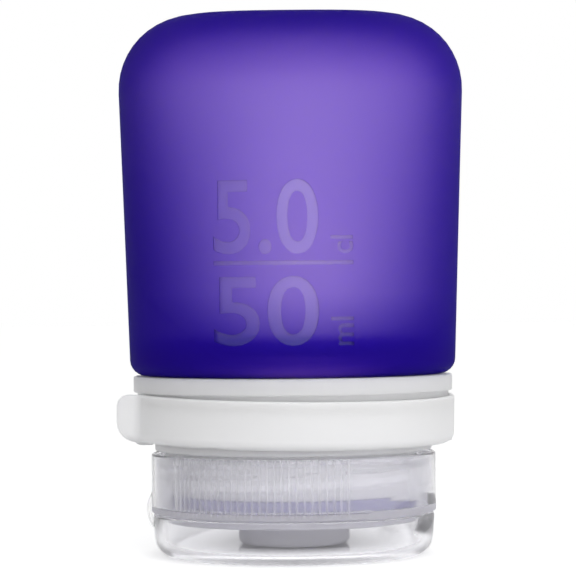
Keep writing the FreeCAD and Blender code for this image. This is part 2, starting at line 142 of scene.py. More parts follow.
class MarkSizes(bpy.types.PropertyGroup):
    """Words and sizes of the capacity mark on the body's front."""
    upper: StringProperty(name="Upper number", description="Plain number over the rule", default="5.0")
    lower: StringProperty(name="Lower number", description="Plain number under the rule", default="50")
    upper_unit: StringProperty(name="Upper unit", description="Unit of the upper number", default="cl")
    lower_unit: StringProperty(name="Lower unit", description="Unit of the lower number", default="ml")
    left: length("Left", "How far left of the middle the numbers start", 0.0093)
    width: length("Width", "Width of the numbers", 0.0125)
    upper_height: length("Upper height", "Height of the upper number", 0.0089)
    lower_height: length("Lower height", "Height of the lower number", 0.0083)
    upper_gap: length("Upper gap", "Room between the rule and the upper number", 0.0008)
    lower_gap: length("Lower gap", "Room between the rule and the lower number", 0.0013)
    rule_z: length("Rule level", "Level of the rule's lower edge", 0.03615)
    rule_height: length("Rule height", "Height of the rule", 0.0005)
    unit_gap: length("Unit gap", "Room between the numbers and their units", 0.0014)
    unit_width: length("Unit width", "Height of the units' letters, which stand on end", 0.0027)
    boldness: amount("Boldness", "How much the strokes are thickened, as a share of the letter size", 0.012)
    depth: length("Depth", "How deep the mark is pressed in", 0.00045)
    grid: length("Grid", "Longest face in the mark", 0.0006)


class CollarSizes(bpy.types.PropertyGroup):
    """Sizes of the collar, its thread and the strap's hinge."""
    bore: length("Bore", "Radius of the collar's bore", 0.0142)
    root_radius: length("Thread root", "Radius of the neck tube under the thread", 0.0155)
    bead_radius: length("Bead radius", "Radius of the bead over the cap", 0.0174)
    bead_z: length("Bead level", "Level of the bead's underside", 0.0132)
    bead_setback: length("Bead setback", "Step from the bead to the barrel", 0.0006)
    barrel_radius: length("Barrel radius", "Radius behind the strap", 0.018)
    ring_radius: length("Ring radius", "Radius of the ring under the body", 0.02003)
    ring_height: length("Ring height", "Height of the ring", 0.002)
    step_radius: length("Step radius", "Radius of the step that the strap's lip runs round", 0.01955)
    step_height: length("Step height", "Height of the step under the ring", 0.0014)
    core_width: length("Core width", "Width of the hollow behind the barrel", 0.001)
    core_floor: length("Core floor", "Floor of the hollow above the bead", 0.0016)
    edge: length("Edge", "Rounding of the edges", 0.0003)
    mouth_edge: length("Mouth edge", "Rounding of the bore's upper edge", 0.0006)
    thread_lead: length("Thread lead", "Rise of the thread in one turn", 0.004)
    thread_z: length("Thread level", "Level of the ridge at the front", 0.00954)
    thread_height: length("Thread height", "How far the ridge stands out", 0.0008)
    thread_base: length("Thread base", "Width of the ridge at its root", 0.0018)
    thread_crest: length("Thread crest", "Width of the ridge at its top", 0.0007)
    row: length("Row", "Longest face up the thread", 0.0002)
    rear_end_azimuth: turn("Rear band end", "Azimuth where the rear band ends", 278)
    rear_overlap: length("Rear overlap", "How far the rear band reaches into the barrel", 0.0004)
    ear_radius: length("Ear radius", "Radius of the hinge ears and the knuckle", 0.00115)
    knuckle_height: length("Knuckle height", "Height of the strap's knuckle", 0.00215)
    knuckle_gap: length("Knuckle gap", "Play above and below the knuckle", 0.0002)
    relief: length("Relief", "Room round the knuckle", 0.00045)
    hole_clearance: length("Hole clearance", "Play round the pin", 0.00005)


class StrapSizes(bpy.types.PropertyGroup):
    """Sizes of the lock strap."""
    bore: length("Bore", "Inner radius of the strap", 0.0183)
    thickness: length("Thickness", "Thickness of the strap", 0.002)
    lip_bore: length("Lip bore", "Inner radius of the thin lip at the strap's top", 0.0197)
    lip_height: length("Lip height", "Height of the thin lip", 0.0014)
    inner_edge: length("Inner edge", "Rounding of the inner edges", 0.0003)
    top_edge: length("Top edge", "Rounding of the upper outer edge", 0.0003)
    bottom_edge: length("Bottom edge", "Rounding of the lower outer edge", 0.0012)
    tab_azimuth: turn("Tab azimuth", "Azimuth where the strap bends outwards", -66)
    tab_bend: length("Tab bend", "Radius of the bend at mid thickness", 0.0022)
    tab_length: length("Tab length", "Straight length of the finger tab", 0.00206)
    tab_top_corner: length("Tab top corner", "Rounding of the tab's upper corner", 0.0014)
    tab_bottom_corner: length("Tab bottom corner", "Rounding of the tab's lower corner", 0.0026)
    pitch: turn("Pitch", "How far the front hangs below the sides", 1.15)
    roll: turn("Roll", "How far the free end rides up", 0.9)
    notch_azimuth: turn("Notch azimuth", "Azimuth of the notch in the lower edge", -30)
    notch_width: length("Notch width", "Width of the notch", 0.0028)
    notch_depth: length("Notch depth", "Depth of the notch", 0.00045)


class CapSizes(bpy.types.PropertyGroup):
    """Sizes of the screw cap, its spout and the thumb scoop."""
    wall: length("Wall", "Wall of the skirt with its lining", 0.00118)
    clear_wall: length("Clear wall", "Clear outer wall of the skirt", 0.00045)
    lining_gap: length("Lining gap", "Gap between the clear wall and the threaded lining", 0.00002)
    deck: length("Deck", "Thickness of the deck under the mouth", 0.00085)
    plinth_height: length("Plinth height", "Height of the plinth inside the lid", 0.0011)
    plinth_radius: length("Plinth radius", "Radius of the plinth inside the lid", 0.0163)
    web: length("Web", "Thickness of the plinth", 0.001)
    land_width: length("Land width", "Width of the land that the mouth seals on", 0.0036)
    edge: length("Edge", "Rounding of the edges", 0.00025)
    orifice: length("Orifice", "Radius of the spout's hole", 0.004)
    spout_bore: length("Spout bore", "Radius of the valve's seat", 0.00595)
    spout_wall: length("Spout wall", "Wall of the spout", 0.00105)
    spout_lip: length("Spout lip", "Thickness of the spout's end", 0.0007)
    spout_edge: length("Spout edge", "Rounding of the spout's end", 0.0004)
    rib_count: IntProperty(name="Ribs", description="Ribs in each patch", default=27)
    rib_pitch: turn("Rib pitch", "Angle between ribs", 2.88)
    rib_patch: turn("Rib patch", "Angle from the thumb scoop to the middle of a patch", 74)
    rib_stand: length("Rib stand", "How far a rib stands out", 0.00016)
    rib_margin: length("Rib margin", "Plain skirt above and below the ribs", 0.0005)
    row: length("Row", "Longest face up the skirt", 0.0003)
    thread_height: length("Thread height", "How far the inner thread stands in", 0.0007)
    thread_turns: amount("Thread turns", "Turns from the collar's ridge to the cap's", 0.5)
    scoop_depth: length("Scoop depth", "Depth of the thumb scoop", 0.00075)
    scoop_height: length("Scoop height", "Half the height of the thumb scoop", 0.003)
    scoop_half_angle: turn("Scoop angle", "Half the angle that the scoop spans", 29)


class LidSizes(bpy.types.PropertyGroup):
    """Sizes of the flip lid and its film hinge."""
    height: length("Height", "Height of the lid", 0.0053)
    setback: length("Setback", "Step from the skirt to the lid", 0.00018)
    wall: length("Wall", "Wall of the lid", 0.0012)
    floor: length("Floor", "Thickness of the lid's end", 0.0012)
    draft: length("Draft", "How much narrower the lid's end is", 0.00035)
    corner: length("Corner", "Rounding of the lid's end", 0.0024)
    inner_corner: length("Inner corner", "Rounding inside the lid's end", 0.0013)
    edge: length("Edge", "Rounding of the rim", 0.00025)
    plug_radius: length("Plug radius", "Radius of the plug that stops the spout", 0.00365)
    plug_reach: length("Plug reach", "Level of the plug's end", 0.00225)
    plug_edge: length("Plug edge", "Rounding of the plug's end", 0.0004)
    film_thickness: length("Film thickness", "Thickness of the film hinge", 0.0004)
    film_half_angle: turn("Film angle", "Half the angle that the film spans", 11)
    film_row: length("Film row", "Longest face up the film", 0.00002)
    bow_azimuth: turn("Bow azimuth", "Angle from the film to each bow", 30)
    bow_half_angle: turn("Bow angle", "Half the angle that a bow spans", 5)
    bow_thickness: length("Bow thickness", "Thickness of a bow", 0.00032)
    bow_stand: length("Bow stand", "How far a bow stands out", 0.00062)
    bow_foot: length("Bow foot", "Height of a bow's foot", 0.0007)
    seat: length("Seat", "Clearance between the bows and what they join", 0.00005)


class Finishes(bpy.types.PropertyGroup):
    """Colours, painted shade, grain and depth of the finishes."""
    silicone: colour("Silicone", "Tint at the silicone's surface", (0.97, 0.95, 1.0))
    # Painted shade on the silicone: the tint darkens towards the flanks and the shoulder, and is lightest a
    # little right of the middle.
    silicone_painted_shade: colour("Silicone flank", "Tint at the flanks", (0.46, 0.44, 0.56))
    painted_shade_middle: amount("Silicone middle", "Where the lightest part is, from -1 at the left to 1", 0.12)
    flank_shade_low: amount("Flank low", "Share of the flanks' tint at the shoulder", 1.28)
    flank_shade_high: amount("Flank high", "Share of the flanks' tint at the base", 0.2)
    shoulder_shade_share: amount("Shoulder share", "Share of the flanks' tint all round the shoulder", 0.8)
    shoulder_shade_reach: length("Shoulder reach", "Height over which the shoulder's tint fades", 0.01)
    mark_gloss: amount("Mark gloss", "Share of light that the polished mark mirrors", 0.05)
    silicone_pigment: colour("Silicone pigment", "Colour of the pigment in the silicone", (0.06, 0.014, 1.0))
    silicone_cloud: amount("Silicone cloud", "Share of light that the pigment scatters", 0.21)
    silicone_depth: colour("Silicone depth", "Colour that thick silicone turns to", (0.74, 0.53, 0.79))
    silicone_density: amount("Silicone density", "How fast silicone darkens with depth, per metre", 400)
    silicone_bend: amount("Silicone bend", "Refractive index of silicone", 1.41)
    silicone_sheen: amount("Silicone sheen", "Level of the pigment's mirrored light", 0.1)
    silicone_fineness: amount("Silicone fineness", "Fineness of the silicone's grain, per metre", 4000)
    silicone_grain: length("Silicone grain", "Depth of the silicone's grain", 0.00002)
    silicone_smooth: amount("Silicone smooth", "Roughness of silicone where it is smoothest", 0.42)
    silicone_rough: amount("Silicone rough", "Roughness of silicone where it is roughest", 0.5)
    mark_rough: amount("Mark rough", "Roughness of the polished mark for light that passes", 0.14)
    mirror_rough: amount("Mirror rough", "Roughness of the polished mark for light that it mirrors", 0.25)
    grain_strength: amount("Grain strength", "Strength of every grain", 0.2)
    patch_share: amount("Patch share", "Fineness of rougher patches as a share of the grain's", 0.0625)
    plastic_bend: amount("Plastic bend", "Refractive index of moulded plastic", 1.49)
    plastic_fineness: amount("Plastic fineness", "Fineness of the plastic's grain, per metre", 3000)
    plastic_grain: length("Plastic grain", "Depth of the plastic's grain", 0.00001)
    white: colour("White plastic", "Strap and its pin", (0.84, 0.84, 0.845))
    white_smooth: amount("White smooth", "Roughness of white plastic where it is smoothest", 0.34)
    white_rough: amount("White rough", "Roughness of white plastic where it is roughest", 0.42)
    white_glow: length("White glow", "How deep light spreads in white plastic and the valve's ring", 0.0015)
    pin_glow: amount("Pin glow", "Share of the pin's light that spreads inside it", 0.6)
    frosted: colour("Frosted plastic", "Collar and valve ring", (0.94, 0.94, 0.955))
    frosted_smooth: amount("Frosted smooth", "Roughness of frosted plastic where it is smoothest", 0.4)
    frosted_rough: amount("Frosted rough", "Roughness of frosted plastic where it is roughest", 0.5)
    frosted_glow: length("Frosted glow", "How deep light spreads in the collar", 0.006)
    clear: colour("Clear plastic", "Surface of cap and lid", (0.98, 0.98, 0.985))
    clear_rough: amount("Clear rough", "Roughness of clear plastic with no milk", 0.07)
    cloud_rough: amount("Cloud rough", "Roughness of clear plastic that is all milk", 0.45)
    hinge_smooth: amount("Hinge smooth", "Roughness of the film hinge where it is smoothest", 0.06)
    hinge_rough: amount("Hinge rough", "Roughness of the film hinge where it is roughest", 0.12)
    hinge_clear: amount("Hinge clear", "Share of light that passes the film hinge", 0.9)
    clear_depth: colour("Clear depth", "Colour that thick clear plastic turns to", (0.54, 0.53, 0.60))
    clear_density: amount("Clear density", "How fast clear plastic greys with depth, per metre", 40)
    clear_cloud: amount("Clear cloud", "Share of milk on the cap's clear faces", 0.04)
    rib_cloud: amount("Rib cloud", "Share of milk that a rib's crest adds", 0.26)
    lid_cloud: amount("Lid cloud", "Share of milk on the lid's clear faces", 0.05)
    lining_cloud: amount("Lining cloud", "Share of milk on the skirt's lining", 0.25)
    deck_cloud: amount("Deck cloud", "Share of milk on the deck and plinth", 0.6)
    spout_cloud: amount("Spout cloud", "Share of milk on the spout", 0.85)
    cap_bend: amount("Cap bend", "Refractive index of the cap's thin clear wall", 1.22)
    lid_bend: amount("Lid bend", "Refractive index of the lid", 1.35)
    milky: colour("Milky plastic", "Milk in the cap and lid", (0.95, 0.94, 0.985))
    milk_smooth: amount("Milk smooth", "Roughness of milky plastic where it is smoothest", 0.3)
    milk_rough: amount("Milk rough", "Roughness of milky plastic where it is roughest", 0.4)
    milk_through: amount("Milk through", "Share of the milk's light that comes through from behind", 0.5)
    valve: colour("Valve", "Soft valve", (0.80, 0.80, 0.83))
    valve_smooth: amount("Valve smooth", "Roughness of the valve where it is smoothest", 0.35)
    valve_rough: amount("Valve rough", "Roughness of the valve where it is roughest", 0.45)
    valve_clear: amount("Valve clear", "Share of light that passes the valve", 0.6)
    floor: colour("Floor", "Floor that the bottle stands on", (0.90, 0.90, 0.90))
    floor_rough: amount("Floor rough", "Roughness of the floor", 0.8)


class StageSizes(bpy.types.PropertyGroup):
    """Camera, floor and lamps."""
    camera_distance: length("Camera distance", "From the bottle's axis to the camera", 0.324)
    camera_height: length("Camera height", "Level of the camera", 0.0321)
    camera_lens: amount("Lens", "Focal length of the camera in millimetres", 160.7)
    camera_pitch: turn("Camera pitch", "How far the camera looks up", 0.245)
    camera_yaw: turn("Camera yaw", "How far the camera looks to the left", 0.09)
    camera_roll: turn("Camera roll", "How far the camera leans", 0.52)
    near_share: amount("Near share", "Nearest thing seen, as a share of the camera distance", 0.01)
    floor_size: length("Floor size", "Width of the floor", 6)
    key_place: spot("Key place", "Place of the lamp in front, in camera distances", (0.2, -1.2, 0.7))
    fill_place: spot("Fill place", "Place of the lamp at the right, in camera distances", (1.3, -0.5, 0.3))
    key_light: amount("Key light", "Power of the lamp in front, in watts", 0.9)
    fill_light: amount("Fill light", "Power of the lamp at the right, in watts", 0.3)
    room_light: amount("Room light", "Strength of the light from all round", 0.5)
    backdrop_middle: turn("Backdrop middle", "Angle from its middle within which the backdrop is white", 10)
    backdrop_edge: turn("Backdrop edge", "Angle from its middle at which the backdrop ends", 75)
    backdrop_rise: amount("Backdrop rise", "Slope up to the backdrop's middle", 0.1)
    backdrop_side: amount("Backdrop side", "Slope to the right of the backdrop's middle", 0.3)
    floor_glow: amount("Floor glow", "How much the floor is lit from below where it is seen", 0.53)
    # Painted shadow on the floor: its glow is held back near the axis, so the floor is darker under the
    # bottle.
    painted_shadow_fade_start: length("Glow start", "Distance from the axis where the floor's glow begins to grow", 0.006)
    painted_shadow_end: length("Glow full", "Distance from the axis where the floor is fully lit from below", 0.02)


GROUPS = {
    "bottle_body": BodySizes,
    "bottle_mark": MarkSizes,
    "bottle_collar": CollarSizes,
    "bottle_strap": StrapSizes,
    "bottle_cap": CapSizes,
    "bottle_lid": LidSizes,
    "bottle_finishes": Finishes,
    "bottle_stage": StageSizes,
}


def outward(azimuth):
    """Unit vector away from the bottle's axis."""
    angle = math.radians(azimuth)
    return Vector((math.sin(angle), -math.cos(angle), 0))


def at(azimuth, radius, z):
    """Point at an azimuth, radius and level."""
    return outward(azimuth) * radius + Vector((0, 0, z))


def azimuth_of(point):
    """Azimuth of a point in degrees."""
    return math.degrees(math.atan2(point.x, -point.y))


def quarter(steps):
    """Sine and cosine at even steps through a quarter turn."""
    angles = [math.pi / 2 * step / steps for step in range(steps + 1)]
    return [(math.sin(angle), math.cos(angle)) for angle in angles]


def around(centre, start, end, steps):
    """Points from start to end along the shorter circle arc about a centre."""
    first = start - centre
    sweep = -first.angle_signed(end - centre)
    return [centre + Matrix.Rotation(sweep * step / steps, 2) @ first for step in range(steps + 1)]


def rounded(corners):
    """Outline points through (radius, level, rounding) corners of a closed outline."""
    points = []
    for index, (radius, level, rounding) in enumerate(corners):
        here = Vector((radius, level))
        before = (Vector(corners[index - 1][:2]) - here).normalized()
        after = (Vector(corners[(index + 1) % len(corners)][:2]) - here).normalized()
        if rounding == 0:
            points.append(here)
            continue
        half = before.angle(after) / 2
        centre = here + (before + after).normalized() * (rounding / math.sin(half))
        tangent = rounding / math.tan(half)
        points += around(centre, here + before * tangent, here + after * tangent, ROUNDING_STEPS)
    return points


def rows(radius, first, last, longest):
    """Plain corners up or down a straight wall, no further apart than a length."""
    count = math.ceil(abs(last - first) / longest)
    return [(radius, first + (last - first) * step / count, 0) for step in range(count + 1)]


def deselect():
    """Goes back to object mode with nothing selected."""
    if bpy.context.object and bpy.context.object.mode != "OBJECT":
        bpy.ops.object.mode_set(mode="OBJECT")
    bpy.ops.object.select_all(action="DESELECT")


def choose(piece):
    """Selects one piece and makes it active."""
    deselect()
    piece.select_set(True)
    bpy.context.view_layer.objects.active = piece


def edit(piece):
    """Opens a piece in edit mode with all of it selected."""
    choose(piece)
    bpy.ops.object.mode_set(mode="EDIT")
    bpy.ops.mesh.select_all(action="SELECT")


def weld(piece):
    """Merges doubled points, drops loose ones and turns the faces outwards."""
    edit(piece)
    bpy.ops.mesh.remove_doubles(threshold=WELD)
    bpy.ops.mesh.delete_loose()
    bpy.ops.mesh.select_all(action="SELECT")
    bpy.ops.mesh.normals_make_consistent(inside=False)
    bpy.ops.object.mode_set(mode="OBJECT")


def smooth(piece, sharp_degrees=32):
    """Smooth shading with edges kept that turn by more than an angle."""
    choose(piece)
    bpy.ops.object.shade_smooth_by_angle(angle=math.radians(sharp_degrees))


def ring(name, points):
    """Closed ring of edges through points, drawn from a circle."""
    deselect()
    bpy.ops.mesh.primitive_circle_add(vertices=len(points), fill_type="NOTHING")
    piece = bpy.context.object
    piece.name = name
    for vertex, point in zip(piece.data.vertices, points):
        vertex.co = point
    return piece


def lathe(name, outline, steps=TURN_STEPS):
    """Solid spun a full turn about the axis from outline points."""
    piece = ring(name, [Vector((point.x, 0, point.y)) for point in outline])
    edit(piece)
    bpy.ops.mesh.spin(steps=steps, angle=FULL_TURN, center=(0, 0, 0), axis=(0, 0, 1))
    weld(piece)
    return piece


def band(name, outline, start, sweep, steps):
    """Solid spun part of a turn about the axis from an azimuth through a sweep, with closed ends."""
    piece = ring(name, [at(start, point.x, point.y) for point in outline])
    edit(piece)
    bpy.ops.mesh.edge_face_add()
    bpy.ops.mesh.spin(steps=steps, angle=-math.radians(sweep), center=(0, 0, 0), axis=(0, 0, 1))
    weld(piece)
    return piece


def post(radius, bottom, top, centre):
    """Upright cylinder about a centre."""
    deselect()
    middle = (centre.x, centre.y, (bottom + top) / 2)
    bpy.ops.mesh.primitive_cylinder_add(
        vertices=TURN_STEPS // 3, radius=radius, depth=top - bottom, location=middle
    )
    bpy.ops.object.transform_apply(location=True, rotation=True, scale=True)
    return bpy.context.object


def prism(outline, start_y, end_y):
    """Solid between two levels of Y through outline points that hold X and Z."""
    piece = ring("prism", [Vector((point.x, start_y, point.y)) for point in outline])
    edit(piece)
    bpy.ops.mesh.edge_face_add()
    bpy.ops.mesh.extrude_region_move(TRANSFORM_OT_translate={"value": (0, end_y - start_y, 0)})
    weld(piece)
    return piece


def apply_modifiers(piece):
    """Applies a piece's modifiers in order."""
    choose(piece)
    for modifier in list(piece.modifiers):
        bpy.ops.object.modifier_apply(modifier=modifier.name)


def combine(piece, operation, *others):
    """Joins a piece with other solids or cuts them from it, and uses them up."""
    for other in others:
        modifier = piece.modifiers.new("Combine", "BOOLEAN")
        modifier.operation = operation
        modifier.solver = "EXACT"
        modifier.material_mode = "TRANSFER"
        modifier.object = other
    apply_modifiers(piece)
    for other in others:
        bpy.data.objects.remove(other)


def dress(piece, *materials):
    """Gives a piece its materials."""
    piece.data.materials.clear()
    for material in materials:
        piece.data.materials.append(material)


def settle(piece, body, node):
    """Makes a finished piece stand for its node and ride on its body."""
    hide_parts(node)
    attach(piece, body)


def new_finish(name):
    """New material with its shader, nodes and links."""
    material = bpy.data.materials.new(name)
    material.use_nodes = True
    tree = material.node_tree
    return material, tree.nodes["Principled BSDF"], tree.nodes, tree.links


def combined(nodes, links, operation, first, second):
    """Socket that adds, multiplies or compares two others."""
    total = nodes.new("ShaderNodeMath")
    total.operation = operation
    links.new(first, total.inputs[0])
    links.new(second, total.inputs[1])
    return total.outputs["Value"]


def turned(nodes, links, operation, vector, other=(0, 0, 0)):
    """Node that works on a vector socket, with another fixed vector where it needs one."""
    node = nodes.new("ShaderNodeVectorMath")
    node.operation = operation
    node.inputs[1].default_value = other
    links.new(vector, node.inputs[0])
    return node


def ranged(nodes, links, value, low, high, from_low=0, from_high=1):
    """Socket that takes a value from one range to another."""
    node = nodes.new("ShaderNodeMapRange")
    node.inputs["From Min"].default_value = from_low
    node.inputs["From Max"].default_value = from_high
    node.inputs["To Min"].default_value = low
    node.inputs["To Max"].default_value = high
    links.new(value, node.inputs["Value"])
    return node.outputs["Result"]


def mixed(nodes, links, first, second):
    """Node that mixes two shaders."""
    node = nodes.new("ShaderNodeMixShader")
    links.new(first, node.inputs[1])
    links.new(second, node.inputs[2])
    return node


def share_of_faces(nodes, name):
    """Socket with a share that each face carries."""
    node = nodes.new("ShaderNodeAttribute")
    node.attribute_name = name
    return node.outputs["Fac"]


def fill_depth(nodes, links, tint, density):
    """Makes the inside of a clear piece darken with depth."""
    depth = nodes.new("ShaderNodeVolumeAbsorption")
    depth.inputs["Color"].default_value = (*tint, 1)
    depth.inputs["Density"].default_value = density
    links.new(depth.outputs["Volume"], nodes["Material Output"].inputs["Volume"])


def moulded_grain(nodes, links, shader, fineness, depth, smoothest, roughest):
    """Fine moulded grain: a small bump, and a roughness that varies over the piece."""
    finishes = bpy.context.scene.bottle_finishes
    place = nodes.new("ShaderNodeTexCoord")
    grain = nodes.new("ShaderNodeTexNoise")
    grain.inputs["Scale"].default_value = fineness
    links.new(place.outputs["Object"], grain.inputs["Vector"])
    bump = nodes.new("ShaderNodeBump")
    bump.inputs["Strength"].default_value = finishes.grain_strength
    bump.inputs["Distance"].default_value = depth
    links.new(grain.outputs["Fac"], bump.inputs["Height"])
    links.new(bump.outputs["Normal"], shader.inputs["Normal"])
    patches = nodes.new("ShaderNodeTexNoise")
    patches.inputs["Scale"].default_value = fineness * finishes.patch_share
    links.new(place.outputs["Object"], patches.inputs["Vector"])
    rough = ranged(nodes, links, patches.outputs["Fac"], smoothest, roughest)
    links.new(rough, shader.inputs["Roughness"])
    return rough


def painted_flank_shade(nodes, links, finishes):
    """Socket with the body's tint and its painted shade: darker towards its flanks and its shoulder, lightest
    a little right of the middle.
    """
    place = nodes.new("ShaderNodeTexCoord").outputs["Object"]
    flat = turned(nodes, links, "MULTIPLY", place, (1, 1, 0))
    away = turned(nodes, links, "NORMALIZE", flat.outputs["Vector"])
    across = turned(nodes, links, "DOT_PRODUCT", away.outputs["Vector"], (1, 0, 0))
    off_middle = nodes.new("ShaderNodeMath")
    off_middle.operation = "SUBTRACT"
    off_middle.inputs[1].default_value = finishes.painted_shade_middle
    links.new(across.outputs["Value"], off_middle.inputs[0])
    # Painted shade: the share grows with the distance from the lightest part, which sits right of the middle.
    share = combined(nodes, links, "MULTIPLY", off_middle.outputs["Value"], off_middle.outputs["Value"])
    level = nodes.new("ShaderNodeSeparateXYZ")
    links.new(place, level.inputs["Vector"])
    bottom = body_bottom()
    shoulder_shade_top = bottom + finishes.shoulder_shade_reach
    strength = ranged(
        nodes, links, level.outputs["Z"], finishes.flank_shade_low, finishes.flank_shade_high, bottom, BOTTLE_HIGH.z
    )
    flank = combined(nodes, links, "MULTIPLY", share, strength)
    shoulder = ranged(nodes, links, level.outputs["Z"], finishes.shoulder_shade_share, 0, bottom, shoulder_shade_top)
    tint = nodes.new("ShaderNodeMix")
    tint.data_type = "RGBA"
    tint.inputs["A"].default_value = (*finishes.silicone, 1)
    tint.inputs["B"].default_value = (*finishes.silicone_painted_shade, 1)
    links.new(combined(nodes, links, "ADD", flank, shoulder), tint.inputs["Factor"])
    return tint.outputs["Result"]


def silicone_finish(name):
    """Cloudy purple silicone that darkens with depth, with painted shade towards its flanks and shoulder,
    matt but for the polished faces of the mark.
    """
    finishes = bpy.context.scene.bottle_finishes
    material, pigment, nodes, links = new_finish(name)
    pigment.inputs["Base Color"].default_value = (*finishes.silicone_pigment, 1)
    pigment.inputs["IOR"].default_value = finishes.silicone_bend
    pigment.inputs["Specular IOR Level"].default_value = finishes.silicone_sheen
    rough = moulded_grain(
        nodes,
        links,
        pigment,
        finishes.silicone_fineness,
        finishes.silicone_grain,
        finishes.silicone_smooth,
        finishes.silicone_rough,
    )
    clear = nodes.new("ShaderNodeBsdfRefraction")
    # The light that passes the silicone carries painted shade at its flanks and shoulder.
    links.new(painted_flank_shade(nodes, links, finishes), clear.inputs["Color"])
    clear.inputs["IOR"].default_value = finishes.silicone_bend
    links.new(pigment.inputs["Normal"].links[0].from_socket, clear.inputs["Normal"])
    polish = share_of_faces(nodes, "polish")
    surface = nodes.new("ShaderNodeMix")
    surface.inputs["B"].default_value = finishes.mark_rough
    links.new(polish, surface.inputs["Factor"])
    links.new(rough, surface.inputs["A"])
    links.new(surface.outputs["Result"], clear.inputs["Roughness"])
    cloudy = mixed(nodes, links, clear.outputs["BSDF"], pigment.outputs["BSDF"])
    cloudy.inputs["Fac"].default_value = finishes.silicone_cloud
    mirror = nodes.new("ShaderNodeBsdfAnisotropic")
    mirror.inputs["Roughness"].default_value = finishes.mirror_rough
    glossy = mixed(nodes, links, cloudy.outputs["Shader"], mirror.outputs["BSDF"])
    links.new(ranged(nodes, links, polish, 0, finishes.mark_gloss), glossy.inputs["Fac"])
    links.new(glossy.outputs["Shader"], nodes["Material Output"].inputs["Surface"])
    fill_depth(nodes, links, finishes.silicone_depth, finishes.silicone_density)
    return material


def plastic_finish(name, tint, smoothest, roughest, transmission=0, subsurface=0, glow_depth=0):
    """Moulded plastic, from clear to white, with the depth that light spreads to in cloudy plastic."""
    finishes = bpy.context.scene.bottle_finishes
    material, shader, nodes, links = new_finish(name)
    shader.inputs["Base Color"].default_value = (*tint, 1)
    shader.inputs["Transmission Weight"].default_value = transmission
    shader.inputs["Subsurface Weight"].default_value = subsurface
    shader.inputs["Subsurface Radius"].default_value = (1, 1, 1)
    shader.inputs["Subsurface Scale"].default_value = glow_depth
    shader.inputs["IOR"].default_value = finishes.plastic_bend
    moulded_grain(
        nodes, links, shader, finishes.plastic_fineness, finishes.plastic_grain, smoothest, roughest
    )
    return material


def white_finish(name, subsurface):
    """White moulded plastic of the strap and its pin."""
    finishes = bpy.context.scene.bottle_finishes
    return plastic_finish(
        name,
        finishes.white,
        finishes.white_smooth,
        finishes.white_rough,
        subsurface=subsurface,
        glow_depth=finishes.white_glow,
    )


def frosted_finish(name, glow_depth):
    """Frosted plastic of the collar and the valve's ring."""
    finishes = bpy.context.scene.bottle_finishes
    return plastic_finish(
        name,
        finishes.frosted,
        finishes.frosted_smooth,
        finishes.frosted_rough,
        subsurface=1,
        glow_depth=glow_depth,
    )


def clear_finish(name, bend):
    """Clear plastic that bends light, greys a little with depth and is milky on the faces with a cloud."""
    finishes = bpy.context.scene.bottle_finishes
    material, milk, nodes, links = new_finish(name)
    milk.inputs["Base Color"].default_value = (*finishes.milky, 1)
    moulded_grain(
        nodes,
        links,
        milk,
        finishes.plastic_fineness,
        finishes.plastic_grain,
        finishes.milk_smooth,
        finishes.milk_rough,
    )
    through = nodes.new("ShaderNodeBsdfTranslucent")
    through.inputs["Color"].default_value = (*finishes.milky, 1)
    milky = mixed(nodes, links, milk.outputs["BSDF"], through.outputs["BSDF"])
    milky.inputs["Fac"].default_value = finishes.milk_through
    cloud = share_of_faces(nodes, "cloud")
    clear = nodes.new("ShaderNodeBsdfGlass")
    clear.inputs["Color"].default_value = (*finishes.clear, 1)
    clear.inputs["IOR"].default_value = bend
    rough = ranged(nodes, links, cloud, finishes.clear_rough, finishes.cloud_rough)
    links.new(rough, clear.inputs["Roughness"])
    both = mixed(nodes, links, clear.outputs["BSDF"], milky.outputs["Shader"])
    links.new(cloud, both.inputs["Fac"])
    shadow = nodes.new("ShaderNodeLightPath").outputs["Is Shadow Ray"]
    unlit = nodes.new("ShaderNodeBsdfTransparent")
    lit = mixed(nodes, links, both.outputs["Shader"], unlit.outputs["BSDF"])
    open_share = combined(nodes, links, "MULTIPLY", shadow, ranged(nodes, links, cloud, 1, 0))
    links.new(open_share, lit.inputs["Fac"])
    links.new(lit.outputs["Shader"], nodes["Material Output"].inputs["Surface"])
    fill_depth(nodes, links, finishes.clear_depth, finishes.clear_density)
    return material


def cloud_over(piece, cloud_at):
    """Gives each face of a piece its share of cloud, from a function of the face's middle."""
    cloud = piece.data.attributes.new("cloud", "FLOAT", "FACE")
    for face, value in zip(piece.data.polygons, cloud.data):
        value.value = cloud_at(face.center)


def body_bottom():
    """Level of the shoulder's underside."""
    return COLLAR_HIGH.z + bpy.context.scene.bottle_body.seat


def body_share(z):
    """Share of the body's height at a level, 0 at the shoulder's underside and below it."""
    bottom = body_bottom()
    return max(0, (z - bottom) / (BOTTLE_HIGH.z - bottom))


def body_reach(share):
    """Half width of the body at a share of its height, before any inset."""
    sizes = bpy.context.scene.bottle_body
    return sizes.shoulder_radius * (1 - share) + sizes.base_width / 2 * share


def squared(angle, share, inset):
    """Radius of the body's outline at an angle from +X, taken in by an inset."""
    sizes = bpy.context.scene.bottle_body
    power = sizes.base_exponent
    across = abs(math.cos(angle)) / (sizes.base_width / 2 - inset)
    along = abs(math.sin(angle)) / (sizes.base_depth / 2 - inset)
    square = (across ** power + along ** power) ** (-1 / power)
    return (sizes.shoulder_radius - inset) * (1 - share) + square * share


